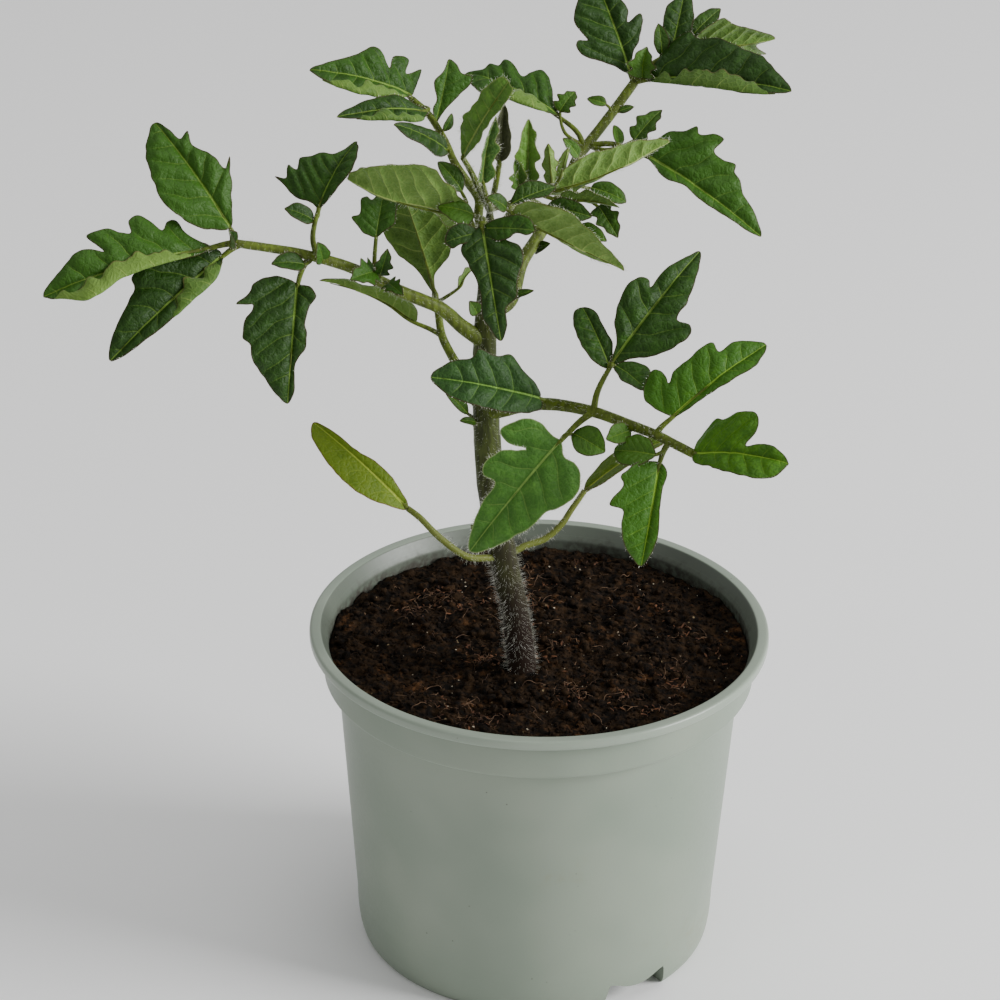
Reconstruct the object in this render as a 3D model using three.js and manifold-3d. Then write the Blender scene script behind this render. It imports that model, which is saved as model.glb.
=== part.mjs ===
// A young tomato plant in a round plastic pot, in millimetres, +Z up.
// The origin is the middle of the pot's underside, and the plant's front looks along -Y.
import * as THREE from "three";
import { mergeVertices } from "three/addons/utils/BufferGeometryUtils.js";
import Module from "manifold-3d";

const wasm = await Module();
wasm.setup();

// ---------------------------------------------------------------- driving dimensions

const GAP = 0.3; // clearance between pieces that touch

// pot
const POT_HEIGHT = 90.5;
const RIM_RADIUS = 60; // outside of the rolled lip
const LIP_HEIGHT = 2.8;
const LIP_WIDTH = 3;
const WALL = 1.4;
const BAND_RADIUS = 56.4; // the wider band under the lip
const BAND_BOTTOM = 77.4;
const BODY_TOP_RADIUS = 52.6;
const BODY_LOW_RADIUS = 47.5;
const TURN_IN_HEIGHT = 12; // where the wall starts to turn in to the foot
const FOOT_RADIUS = 45.3;
const FOOT_INNER_RADIUS = 41.5;
const BOSS_RADIUS = 18; // flat middle of the underside, level with the foot
const RECESS = 7.7; // height of the channel between foot and boss
const FLOOR_THICKNESS = 1.8;
const FLOOR_TOP = RECESS + FLOOR_THICKNESS;
const FLOOR_RADIUS = 45.2;
const EDGE = 0.6; // bevel of the lip, the band and the foot
const BAND_STEP = 2.4; // how far under the band's edge the inside starts to widen
const TURN_IN_STEPS = 3;
const POT_SEGMENTS = 32;
const NOTCH_WIDTH = 20;
const NOTCH_HEIGHT = 7.5;
const NOTCH_TAPER = 1.6;
const NOTCH_CORNER = 1.8;
const NOTCH_DEPTH = 12;
const NOTCH_ANGLES = [35.5, 215.5]; // degrees from the front, towards +X
const DRAIN_HOLES = 6;
const DRAIN_RADIUS = 3.2;
const DRAIN_CIRCLE = 30;
const DRAIN_SIDES = 8;

// soil
const SOIL_TOP = 85.4;
const SOIL_BUMP = 0.9;
const SOIL_FALL = 1.2; // towards the wall
const SOIL_RINGS = 8;
const SOIL_SECTORS = 32;
const SOIL_SEED = 5;

// main stem: centre line from the root stub to the growing tip, with its diameters
const STEM_POINTS = [
  { at: [-4, -16.6, 70], diameter: 4.5 },
  { at: [-4.2, -16.4, 78], diameter: 6.4 },
  { at: [-4.4, -16, 85.5], diameter: 7.6 },
  { at: [-6.4, -15.4, 103], diameter: 6.8 },
  { at: [-9.6, -14.8, 118], diameter: 7.1 },
  { at: [-13.2, -13.8, 140], diameter: 7.2 },
  { at: [-14.6, -12.8, 161], diameter: 6.6 },
  { at: [-15, -11.8, 180], diameter: 5.8 },
  { at: [-14.4, -11, 197], diameter: 4.6 },
  { at: [-14.2, -10.6, 209], diameter: 3.4 },
  { at: [-14.2, -10.8, 213], diameter: 1.6 },
];
const SOIL_HOLE_DIAMETER = 8.6; // plain hole that the stem stands in
const SOIL_HOLE_SIDES = 16;
const STEM_SIDES = 10;
const STEM_STEPS = 26;
const LENGTHS_PER_SPAN = 20;
const STALK_SIDES = 6;
const FEWEST_STALK_STEPS = 4;
const LEAFLET_STALK_SIDES = 5;
const SHORTEST_BENT_STALK = 1.5;

// blades
const BLADE_THICKNESS = 0.7;
const RIB_STATIONS = [0.3, 0.65]; // where a blade bends along its midrib
const RIB_REACH = 0.08; // share of the blade that its stalk runs under
const RIB_END_DIAMETER = 0.8;
const LONGEST_PLAIN_BLADE = 14; // up to here a blade bends only in its middle
const NARROWEST_HALF = 0.035; // of the blade's length

// Margins of the plain leaflets: [along the midrib, out from it], the second as a share of half the width.
const MARGINS = {
  oval: [[0.04, 0.35], [0.22, 0.88], [0.5, 1], [0.78, 0.72], [0.94, 0.3]],
  lobe: [[-0.02, 0.55], [0.25, 0.9], [0.6, 1], [0.88, 0.7]],
  lobed: [[0.03, 0.5], [0.16, 0.95], [0.3, 0.62], [0.46, 1], [0.62, 0.6], [0.78, 0.55], [0.92, 0.22]],
};

// Small shoots in the axils, which grow from the stem itself.
const UP_FRONT = [0, -0.7, 0.7];
const STEM_SHOOTS = [
  { foot: [-14, -13.5, 156], base: [-19, -16, 160], tip: [-25, -17, 167], face: UP_FRONT, width: 3 },
  { foot: [-13, -12.6, 158], base: [-17, -17, 158], tip: [-21, -20, 160], face: UP_FRONT, width: 2.6 },
  { foot: [-9, -14.8, 117], base: [-15, -16.5, 124], tip: [-18, -17, 129], face: [0, -0.8, 0.6], width: 2.8 },
  { foot: [-15, -11.8, 184], base: [-17, -14.5, 187], tip: [-19, -15.5, 191], face: UP_FRONT, width: 4 },
  { foot: [-14.8, -11.5, 188], base: [-9.5, -12, 190], tip: [-3, -13, 193], face: UP_FRONT, width: 2.4 },
];

// Leaves, each with its stalk from the middle of the stem outwards. A leaflet grows from the stalk point
// with the number "on", or from the base of the leaflet that "on" names. Its blade runs from base to tip, and
// face is where its upper side looks. Its margins are [along, out] in shares of the blade length, its halves
// are folded up by the angles in degrees, left and right, and its midrib arches by millimetres.
const LEAVES = [
  {
    name: "seed_leaf_left",
    finish: "seed",
    girth: [1.9, 1.6],
    stalk: [
      [-9.7, -14.8, 118.8], [-14, -18, 120], [-19, -21, 122], [-26, -22, 128],
      [-31, -21, 133], [-34, -20, 135],
    ],
    leaflets: [
      {
        name: "blade", on: 5, stem: 1.5, arch: 2, fold: [8, 8],
        base: [-34, -20, 135], tip: [-58, -12, 155], face: [0, -0.62, 0.78],
        left: [[0.2, 0.15], [0.45, 0.22], [0.74, 0.19], [0.95, 0.1]],
        right: [[0.18, 0.07], [0.39, 0.09], [0.61, 0.05], [0.86, 0.04]],
      },
    ],
  },
  {
    name: "seed_leaf_right",
    finish: "seed",
    girth: [1.9, 1.5],
    stalk: [
      [-9.6, -14.8, 118], [-5, -12, 120], [1, -9, 121], [5, -7, 124],
      [8, -5, 128], [11, -3, 132],
    ],
    leaflets: [
      {
        name: "blade", on: 5, stem: 1.5, arch: 1.5, fold: [8, 8],
        base: [11, -3, 132], tip: [33, 4, 144], face: [-0.35, -0.1, 0.93],
        margin: "oval", width: 9.5,
      },
    ],
  },
  {
    name: "leaf_front_right",
    finish: "leaf",
    girth: [3.6, 2.2],
    stalk: [
      [-14.5, -12.9, 159.1], [-11, -16, 161], [-5, -21, 165], [1, -26, 168],
      [12, -36, 171], [21, -43, 171], [27, -48, 171], [36, -56, 170],
    ],
    leaflets: [
      {
        name: "first", on: 2.9, stem: 1.4, arch: 2, fold: [8, 10],
        base: [-1, -27, 170], tip: [-28, -34, 179], face: [0.1, -0.75, 0.65],
        left: [[-0.01, 0.09], [0.23, 0.19], [0.57, 0.2], [0.85, 0.14]],
        right: [
          [0.03, 0.06], [0.2, 0.19], [0.35, 0.3], [0.47, 0.26], [0.65, 0.29], [0.68, 0.22], [0.88, 0.14],
        ],
      },
      {
        name: "second", on: 4, stem: 1.8, arch: 2, fold: [8, 8],
        base: [16, -32, 182], tip: [38, -10, 203], face: [0, -0.62, 0.78],
        left: [
          [0.13, 0.05], [0.25, 0.15], [0.45, 0.22], [0.58, 0.2],
          [0.61, 0.13], [0.58, 0.1], [0.72, 0.1], [0.91, 0.04],
        ],
        right: [
          [0.1, 0.09], [0.19, 0.21], [0.33, 0.3], [0.45, 0.33],
          [0.5, 0.28], [0.49, 0.19], [0.62, 0.17], [0.81, 0.11],
        ],
      },
      {
        name: "second_left", on: "second", stem: 1.6, arch: 1, fold: [8, 8],
        base: [16, -32, 181], tip: [9, -20, 192], face: [0.1, -0.7, 0.7],
        left: [[0.12, 0.16], [0.4, 0.27], [0.76, 0.24], [0.98, 0.12]],
        right: [[0.33, 0.16], [0.58, 0.14], [0.88, 0.12]],
      },
      {
        name: "second_right", on: "second", stem: 1.6, arch: 1, fold: [6, 6],
        base: [17, -32, 182], tip: [25, -38, 178], face: [0, -0.5, 0.85],
        left: [[0.28, 0.32], [0.79, 0.4]],
        right: [[0.3, 0.22], [0.61, 0.23]],
      },
      {
        name: "third", on: 6, stem: 1.8, arch: 2, fold: [6, 12],
        base: [31, -48, 176], tip: [54, -34, 189], face: [0, -0.5, 0.85],
        left: [
          [-0.08, 0.26], [0.02, 0.37], [0.13, 0.41], [0.18, 0.35], [0.16, 0.23], [0.25, 0.28],
          [0.4, 0.28], [0.57, 0.29], [0.66, 0.26], [0.64, 0.17], [0.79, 0.17], [0.91, 0.1],
        ],
        right: [[0.08, 0.04], [0.21, 0.06], [0.33, 0.07], [0.53, 0.11], [0.81, 0.12]],
      },
      {
        name: "end", on: 7, stem: 1.8, arch: 2, fold: [6, 8],
        base: [36, -56, 170], tip: [58, -72, 176], face: [0.1, -0.6, 0.78],
        left: [
          [0.01, 0.18], [0.11, 0.35], [0.2, 0.34], [0.34, 0.41], [0.54, 0.41],
          [0.61, 0.24], [0.57, 0.08], [0.68, 0.11], [0.85, 0.11],
        ],
        right: [[0.08, 0.11], [0.33, 0.19], [0.56, 0.24], [0.83, 0.24], [0.96, 0.16]],
      },
      {
        name: "fourth", on: 6.4, stem: 1.8, arch: 2, fold: [10, 14],
        base: [28, -53, 166], tip: [24, -62, 142], face: [0, -0.92, 0.4],
        left: [[0.02, 0.04], [0.1, 0.09], [0.24, 0.07], [0.41, 0.08], [0.63, 0.11], [0.84, 0.08]],
        right: [
          [0.04, 0.22], [0.18, 0.35], [0.25, 0.31], [0.45, 0.42], [0.49, 0.28], [0.69, 0.26], [0.88, 0.15],
        ],
      },
      {
        name: "fifth", on: 4, stem: 2, arch: 2, fold: [8, 10],
        base: [4, -40, 165], tip: [-18, -50, 139], face: [-0.1, -0.8, 0.6],
        left: [
          [0.07, 0.1], [0.05, 0.19], [0.12, 0.31], [0.23, 0.35], [0.37, 0.31],
          [0.44, 0.26], [0.56, 0.25], [0.7, 0.2], [0.87, 0.12],
        ],
        right: [
          [0.01, 0.06], [-0.01, 0.19], [0.04, 0.29], [0.21, 0.36], [0.24, 0.28], [0.2, 0.14],
          [0.31, 0.26], [0.45, 0.3], [0.52, 0.25], [0.51, 0.16], [0.67, 0.14], [0.85, 0.09],
        ],
      },
      {
        name: "small_one", on: "fifth", stem: 1, arch: 0.6, fold: [12, 12],
        base: [7, -38, 166], tip: [15, -42, 163], face: [0, -0.7, 0.7],
        margin: "oval", width: 8,
      },
      {
        name: "small_two", on: 6.4, stem: 1.2, arch: 0.8, fold: [12, 12],
        base: [27, -53, 168], tip: [17, -47, 166], face: [0, -0.7, 0.7],
        margin: "oval", width: 8.5,
      },
      {
        name: "small_three", on: 5.2, stem: 1, arch: 0.5, fold: [12, 12],
        base: [21, -44, 170], tip: [15, -49, 170], face: [0.1, -0.8, 0.6],
        margin: "oval", width: 5.5,
      },
    ],
  },
  {
    name: "leaf_left",
    finish: "leaf",
    girth: [3.8, 2],
    stalk: [
      [-15, -11.9, 178.2], [-17, -13, 180], [-21, -15, 184], [-26, -18, 190],
      [-36, -21, 196], [-48, -25, 204], [-60, -28, 209], [-76, -31, 213],
    ],
    leaflets: [
      {
        name: "upper_end", on: 7, stem: 1.8, arch: 2.5, fold: [8, 10],
        base: [-77, -31, 217], tip: [-96, -16, 238], face: [0.05, -0.66, 0.75],
        left: [[0.17, 0.25], [0.41, 0.34], [0.63, 0.3], [0.87, 0.18]],
        right: [
          [0.12, 0.09], [0.25, 0.18], [0.34, 0.23], [0.44, 0.29], [0.39, 0.21],
          [0.52, 0.19], [0.69, 0.12], [0.79, 0.15], [0.77, 0.07], [0.89, 0.05],
        ],
      },
      {
        name: "end", on: 7, stem: 1.8, arch: 3, fold: [10, 8],
        base: [-82, -34, 213], tip: [-121, -50, 207], face: [0, -0.6, 0.8],
        left: [[0.57, 0.08], [0.7, 0.13], [0.8, 0.14], [0.89, 0.09]],
        right: [
          [0.1, 0.11], [0.14, 0.2], [0.19, 0.2], [0.23, 0.16], [0.28, 0.23],
          [0.34, 0.28], [0.4, 0.26], [0.42, 0.18], [0.53, 0.24], [0.66, 0.24],
          [0.62, 0.16], [0.6, 0.12], [0.67, 0.16], [0.74, 0.17], [0.84, 0.12],
        ],
      },
      {
        name: "lower_end", on: 6.9, stem: 1.8, arch: 2.5, fold: [12, 6],
        base: [-79, -32, 210], tip: [-105, -54, 192], face: [-0.1, -0.82, 0.56],
        left: [
          [0.11, 0.08], [0.22, 0.1], [0.34, 0.1], [0.51, 0.1], [0.61, 0.1], [0.75, 0.08], [0.85, 0.06],
        ],
        right: [
          [0.01, 0.09], [0.05, 0.17], [0.12, 0.21], [0.29, 0.29], [0.46, 0.29],
          [0.54, 0.27], [0.57, 0.22], [0.69, 0.17], [0.83, 0.12], [0.92, 0.08],
        ],
      },
      {
        name: "bud", on: 6.9, stem: 0.9, arch: 0.5, fold: [40, 40],
        base: [-77, -33, 213], tip: [-77, -37, 219], face: [1, -0.3, 0.2],
        margin: "oval", width: 4,
      },
      {
        name: "upper_mid", on: 5.7, stem: 1.6, arch: 2, fold: [10, 25],
        base: [-56, -25, 220], tip: [-47, -12, 232], face: [-0.35, -0.75, 0.55],
        left: [
          [0.02, 0.09], [0, 0.3], [0.08, 0.53], [0.12, 0.66], [0.16, 0.52], [0.32, 0.57],
          [0.31, 0.45], [0.46, 0.48], [0.54, 0.38], [0.66, 0.26], [0.69, 0.14], [0.81, 0.06],
        ],
        right: [[0.12, 0.13], [0.32, 0.21], [0.5, 0.27], [0.74, 0.22]],
      },
      {
        name: "upper_mid_small", on: "upper_mid", stem: 1, arch: 0.8, fold: [12, 12],
        base: [-57, -26, 217], tip: [-64, -28, 221], face: [0, -0.6, 0.8],
        margin: "oval", width: 5,
      },
      {
        name: "lower_mid", on: 5.8, stem: 1.8, arch: 2.5, fold: [8, 14],
        base: [-61, -30, 202], tip: [-63, -42, 175], face: [0, -0.92, 0.4],
        left: [
          [0.02, 0.11], [0.09, 0.17], [0.2, 0.11], [0.3, 0.1], [0.51, 0.12], [0.66, 0.04], [0.88, 0.05],
        ],
        right: [
          [-0.03, 0.07], [-0.04, 0.22], [0.04, 0.37], [0.1, 0.39], [0.21, 0.49], [0.21, 0.35],
          [0.34, 0.41], [0.48, 0.42], [0.53, 0.35], [0.63, 0.33], [0.78, 0.23], [0.93, 0.1],
        ],
      },
      {
        name: "lower_mid_small", on: 5.8, stem: 1, arch: 0.8, fold: [12, 12],
        base: [-59, -30, 207], tip: [-67, -34, 209], face: [0, -0.6, 0.8],
        margin: "oval", width: 5.5,
      },
      {
        name: "mid_cluster", on: 5.6, stem: 1, arch: 0.8, fold: [12, 12],
        base: [-55, -27, 206], tip: [-56, -30, 213], face: [0.4, -0.8, 0.4],
        margin: "oval", width: 4.5,
      },
      {
        name: "upper_inner", on: 4.5, stem: 1.3, arch: 1.2, fold: [8, 8],
        base: [-42, -22, 211], tip: [-40, -14, 221], face: [0, -0.7, 0.7],
        left: [
          [0.02, 0.21], [0.13, 0.37], [0.27, 0.52], [0.36, 0.37], [0.67, 0.4], [0.73, 0.3], [0.67, 0.19],
        ],
        right: [[0.13, 0.17], [0.28, 0.31], [0.53, 0.3], [0.84, 0.28]],
      },
      {
        name: "lower_inner", on: 4.5, stem: 1.2, arch: 1, fold: [12, 12],
        base: [-42, -25, 203], tip: [-48, -32, 204], face: [0, -0.8, 0.6],
        margin: "lobed", width: 8,
      },
      {
        name: "lower_inner_up", on: 4.4, stem: 1, arch: 0.6, fold: [12, 12],
        base: [-41, -25, 202], tip: [-39, -27, 210], face: [0.2, -0.8, 0.5],
        margin: "lobed", width: 5,
      },
      {
        name: "lower_inner_right", on: 4.3, stem: 1, arch: 0.8, fold: [12, 12],
        base: [-39, -25, 200], tip: [-35, -32, 200], face: [0.1, -0.8, 0.5],
        margin: "lobed", width: 5,
      },
    ],
  },
  {
    name: "leaf_back_left",
    finish: "leaf",
    girth: [3, 1.8],
    stalk: [
      [-14.5, -12.9, 159.6], [-17, -11, 161], [-20, -4, 164], [-23, 1, 167],
      [-26, 6, 171], [-27, 10, 175], [-28, 14, 179],
    ],
    leaflets: [
      {
        name: "end", on: 6, stem: 1.6, arch: 2.5, fold: [10, 10],
        base: [-28, 14, 179], tip: [-37, 30, 201], face: [-0.2, 0.85, 0.45],
        left: [[0.17, 0.04], [0.24, 0.13], [0.35, 0.24], [0.56, 0.31], [0.71, 0.31], [0.9, 0.23]],
        right: [[0.28, 0.11], [0.48, 0.23], [0.71, 0.3], [0.85, 0.24], [0.95, 0.14]],
      },
      {
        name: "left", on: 4, stem: 1.5, arch: 2, fold: [20, 20],
        base: [-33, 8, 174], tip: [-57, 4, 187], face: [0.05, 0.5, 0.86],
        margin: "lobed", width: 13,
      },
      {
        name: "right", on: 5.6, stem: 1.2, arch: 1, fold: [12, 12],
        base: [-22, 10, 183], tip: [-16, 14, 188], face: [0.1, 0.6, 0.75],
        margin: "lobed", width: 7,
      },
    ],
  },
  {
    name: "leaf_front",
    finish: "leaf",
    girth: [2.6, 2],
    stalk: [
      [-14.3, -10.8, 203.5], [-15, -15, 209], [-16, -20, 215], [-16, -25, 216],
    ],
    leaflets: [
      {
        name: "blade", on: 3, stem: 1.6, arch: 3.5, fold: [4, 4],
        base: [-16, -25, 216], tip: [-11, -40, 192], face: [0, -0.93, 0.36],
        left: [
          [0.17, 0.2], [0.24, 0.29], [0.37, 0.3], [0.5, 0.23], [0.68, 0.19], [0.75, 0.09], [0.89, 0.07],
        ],
        right: [
          [0.16, 0.19], [0.22, 0.21], [0.32, 0.17], [0.46, 0.13], [0.59, 0.11], [0.8, 0.12], [0.91, 0.07],
        ],
      },
      {
        name: "left_lobe", on: 3, stem: 1, arch: 1.5, fold: [4, 4],
        base: [-16, -25, 214], tip: [-25, -29, 213], face: [0, -0.8, 0.6],
        left: [[0.42, 0.17], [0.7, 0.19], [0.9, 0.22]],
        right: [[0.26, 0.2], [0.52, 0.34], [0.79, 0.29]],
      },
      {
        name: "right_lobe", on: 3, stem: 1, arch: 1.5, fold: [4, 4],
        base: [-16, -25, 215], tip: [-3, -30, 217], face: [0, -0.8, 0.6],
        left: [[0.2, 0.12], [0.45, 0.21], [0.72, 0.24], [0.89, 0.19]],
        right: [[0.36, 0.24], [0.56, 0.18], [0.7, 0.08], [0.88, 0.1]],
      },
    ],
  },
  {
    name: "leaf_pale_left",
    finish: "pale",
    girth: [2.4, 1.8],
    stalk: [
      [-14.3, -10.8, 203.5], [-18, -12, 208], [-19, -15, 212], [-20, -18, 216],
    ],
    leaflets: [
      {
        name: "blade", on: 3, stem: 1.6, arch: -2.5, fold: [10, 10],
        base: [-19, -18, 216], tip: [-49, -18, 225], face: [0, 0.85, 0.5],
        left: [[0.15, 0.21], [0.28, 0.32], [0.41, 0.42], [0.55, 0.41], [0.71, 0.33], [0.93, 0.16]],
        right: [[0, 0.21], [0.1, 0.26], [0.28, 0.05], [0.45, 0.04], [0.57, 0.04], [0.75, 0.04]],
      },
      {
        name: "dark_low", on: 3, stem: 1.2, arch: 1, fold: [8, 8],
        base: [-18, -21, 217], tip: [-27, -21, 219], face: [0, -0.6, 0.8],
        left: [[0.12, 0.44], [0.37, 0.48], [0.72, 0.3]],
        right: [[0.16, 0.21], [0.42, 0.26], [0.7, 0.15]],
      },
      {
        name: "dark_top", on: 3, stem: 1.2, arch: 0.8, fold: [12, 12],
        base: [-21, -14, 220], tip: [-27, -12, 227], face: [0.1, -0.6, 0.8],
        margin: "oval", width: 5,
      },
    ],
  },
  {
    name: "leaf_pale_right",
    finish: "pale",
    girth: [2.4, 1.8],
    stalk: [
      [-14.3, -10.8, 203.5], [-11, -13, 208], [-10, -17, 213], [-9, -20, 217],
    ],
    leaflets: [
      {
        name: "blade", on: 3, stem: 1.6, arch: 0, fold: [10, 10],
        base: [-9, -20, 217], tip: [19, -26, 205], face: [0.2, 0.88, 0.42],
        left: [[0.11, 0.05], [0.23, 0.04], [0.4, 0.04], [0.62, 0.07], [0.84, 0.06]],
        right: [[0.08, 0.18], [0.22, 0.24], [0.4, 0.27], [0.54, 0.23], [0.69, 0.17], [0.86, 0.09]],
      },
      {
        name: "dark_upper", on: 3, stem: 1.2, arch: 1, fold: [8, 8],
        base: [-9, -19, 219], tip: [2, -15, 222], face: [0, -0.6, 0.8],
        left: [[0.2, 0.22], [0.39, 0.29], [0.6, 0.26], [0.83, 0.13]],
        right: [[0.23, 0.12], [0.53, 0.14], [0.77, 0.16]],
      },
      {
        name: "dark_left", on: 3, stem: 1, arch: 0.8, fold: [12, 12],
        base: [-10, -22, 219], tip: [-15, -24, 223], face: [0, -0.6, 0.8],
        margin: "oval", width: 4.4,
      },
    ],
  },
  {
    name: "leaf_pale_back",
    finish: "pale",
    girth: [2.4, 1.8],
    stalk: [
      [-14.3, -10.8, 203.5], [-10, -8, 210], [-7, -4, 213], [-1, 0, 214],
    ],
    leaflets: [
      {
        name: "blade", on: 3, stem: 1.6, arch: -2, fold: [10, 10],
        base: [-1, 0, 214], tip: [30, 6, 226], face: [-0.1, 0.86, 0.5],
        left: [[0.2, 0.15], [0.34, 0.08], [0.53, 0.04], [0.76, 0.04], [0.89, 0.04]],
        right: [[0.21, 0.18], [0.39, 0.24], [0.61, 0.2], [0.8, 0.15]],
      },
      {
        name: "second", on: 2.8, stem: 1.3, arch: 1, fold: [12, 12],
        base: [3, 0, 212], tip: [18, -4, 212], face: [0, 0.8, 0.6],
        margin: "lobed", width: 7,
      },
      {
        name: "dark_one", on: 2.6, stem: 1, arch: 0.8, fold: [12, 12],
        base: [11, 10, 211], tip: [20, 8, 208], face: [0, -0.6, 0.8],
        margin: "oval", width: 5.6,
      },
      {
        name: "dark_two", on: 2.6, stem: 1, arch: 0.8, fold: [12, 12],
        base: [13, 10, 206], tip: [18, 4, 200], face: [0, -0.8, 0.6],
        margin: "lobed", width: 7,
      },
      {
        name: "dark_three", on: 2.2, stem: 1, arch: 0.8, fold: [12, 12],
        base: [0, -4, 212], tip: [11, -8, 211], face: [0, -0.8, 0.6],
        margin: "oval", width: 6,
      },
      {
        name: "dark_five", on: 2.8, stem: 1.3, arch: 1, fold: [25, 25],
        base: [1, -4, 218], tip: [0, -2, 228], face: [0, 0.9, 0.3],
        margin: "lobed", width: 4.8,
      },
      {
        name: "spur", on: 2.9, stem: 1, arch: 0.6, fold: [25, 25],
        base: [3, -3, 219], tip: [5, 0, 226], face: [0, 0.9, 0.3],
        margin: "oval", width: 2.6,
      },
      {
        name: "dark_four", on: 2.4, stem: 1, arch: 0.6, fold: [12, 12],
        base: [8, -2, 206], tip: [15, -5, 203], face: [0, -0.7, 0.7],
        margin: "oval", width: 4,
      },
    ],
  },
  {
    name: "leaf_back_right",
    finish: "leaf",
    girth: [3.6, 2.4],
    stalk: [
      [-14.8, -11.5, 186], [-9, -7, 187], [-6, -1, 195], [-1, 8, 200],
      [4, 18, 206], [8, 25, 213], [10, 27, 215], [16, 33, 221],
      [22, 38, 228],
    ],
    leaflets: [
      {
        name: "left_back", on: 5.8, stem: 1.6, arch: 2, fold: [10, 8],
        base: [3, 30, 222], tip: [-21, 36, 231], face: [0.1, -0.3, 0.95],
        left: [[0.26, 0.17], [0.51, 0.24], [0.75, 0.3]],
        right: [
          [0.09, 0.08], [0.24, 0.31], [0.35, 0.36], [0.44, 0.27], [0.48, 0.2],
          [0.64, 0.28], [0.72, 0.28], [0.74, 0.19], [0.83, 0.18], [0.87, 0.09],
        ],
      },
      {
        name: "left_back_lobe", on: 5.9, stem: 1.2, arch: 0.8, fold: [12, 12],
        base: [3, 30, 223], tip: [7, 34, 227], face: [0.1, -0.5, 0.85],
        margin: "lobed", width: 6,
      },
      {
        name: "right_mid", on: 6, stem: 1.8, arch: 2.5, fold: [8, 14],
        base: [25, 22, 215], tip: [54, 6, 200], face: [0, -0.65, 0.76],
        left: [
          [-0.01, 0.13], [0.03, 0.23], [0.11, 0.28], [0.17, 0.36], [0.22, 0.32], [0.3, 0.38], [0.38, 0.39],
          [0.38, 0.28], [0.46, 0.26], [0.56, 0.29], [0.59, 0.24], [0.66, 0.21], [0.73, 0.15], [0.86, 0.1],
        ],
        right: [[0.14, 0.06], [0.24, 0.1], [0.37, 0.07], [0.51, 0.08], [0.65, 0.07], [0.84, 0.05]],
      },
      {
        name: "right_small", on: 6, stem: 1.2, arch: 0.8, fold: [12, 12],
        base: [22, 24, 218], tip: [29, 30, 224], face: [-0.1, -0.6, 0.78],
        margin: "lobed", width: 6.5,
      },
      {
        name: "right_bud", on: 6, stem: 1, arch: 0.5, fold: [12, 12],
        base: [18, 25, 216], tip: [17, 29, 220], face: [0.5, -0.6, 0.5],
        margin: "oval", width: 3.5,
      },
      {
        name: "mid_small", on: 7, stem: 1, arch: 0.5, fold: [12, 12],
        base: [15, 33, 224], tip: [10, 34, 225], face: [0, -0.7, 0.7],
        margin: "oval", width: 3,
      },
      {
        name: "mid_spur", on: 7.1, stem: 0.9, arch: 0.3, fold: [12, 12],
        base: [18, 33, 222], tip: [22, 34, 223], face: [0, -0.7, 0.7],
        margin: "oval", width: 2.2,
      },
      {
        name: "low_small", on: 4.8, stem: 1, arch: 0.8, fold: [12, 12],
        base: [8, 22, 214], tip: [4, 20, 220], face: [0, -0.7, 0.7],
        margin: "oval", width: 3.5,
      },
      {
        name: "low_bud", on: 2.6, stem: 1, arch: 0.5, fold: [12, 12],
        base: [-3, 6, 195], tip: [1, 2, 199], face: [0, -0.7, 0.7],
        margin: "oval", width: 3.2,
      },
      {
        name: "end_left", on: 8, stem: 1.8, arch: 2, fold: [8, 8],
        base: [21, 39, 230], tip: [11, 54, 251], face: [0.1, -0.66, 0.75],
        left: [
          [0.11, 0.15], [0.2, 0.29], [0.28, 0.4], [0.37, 0.43], [0.42, 0.39],
          [0.4, 0.3], [0.5, 0.33], [0.61, 0.36], [0.7, 0.31], [0.81, 0.23],
        ],
        right: [
          [0.09, 0.04], [0.16, 0.08], [0.27, 0.18], [0.43, 0.27],
          [0.49, 0.26], [0.45, 0.13], [0.55, 0.17], [0.66, 0.15],
        ],
      },
      {
        name: "end_pale", on: 8, stem: 1.3, arch: 1.5, fold: [30, 30],
        base: [24, 38, 229], tip: [25, 40, 237], face: [-0.1, -0.5, 0.85],
        margin: "lobed", width: 9,
      },
      {
        name: "end_right", on: 8, stem: 1.8, arch: 2.5, fold: [8, 10],
        base: [25, 38, 229], tip: [61, 22, 233], face: [0, -0.55, 0.83],
        left: [
          [0.05, 0.16], [0.12, 0.27], [0.22, 0.34], [0.3, 0.29],
          [0.42, 0.29], [0.62, 0.24], [0.76, 0.2], [0.87, 0.12],
        ],
        right: [[0.44, 0.08], [0.61, 0.09], [0.74, 0.09], [0.9, 0.07]],
      },
      {
        name: "end_up", on: 8, stem: 1.6, arch: 1.5, fold: [8, 8],
        base: [31, 42, 233], tip: [35, 54, 248], face: [0.1, -0.66, 0.75],
        left: [[0.29, 0.16], [0.66, 0.19], [0.8, 0.1]],
        right: [[0.16, 0.14], [0.41, 0.19], [0.66, 0.17]],
      },
      {
        name: "end_up_small", on: 8, stem: 1.2, arch: 0.8, fold: [12, 12],
        base: [29, 42, 234], tip: [28, 46, 241], face: [0.1, -0.66, 0.75],
        margin: "oval", width: 4,
      },
      {
        name: "end_back", on: 8, stem: 1.6, arch: -1.2, fold: [10, 10],
        base: [37, 44, 236], tip: [58, 50, 236], face: [0, 0.85, 0.5],
        left: [[0.32, 0.11], [0.63, 0.19], [1, 0.43], [0.8, 0.09]],
        right: [[0.05, 0.21], [0.17, 0.36], [0.3, 0.43], [0.45, 0.32], [0.67, 0.24]],
      },
      {
        name: "end_back_dark", on: 8, stem: 1.2, arch: 0.8, fold: [12, 12],
        base: [36, 46, 237], tip: [44, 52, 243], face: [0, -0.66, 0.75],
        margin: "oval", width: 5,
      },
    ],
  },
  {
    name: "leaf_upper_left",
    finish: "leaf",
    girth: [2.6, 1.6],
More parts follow.
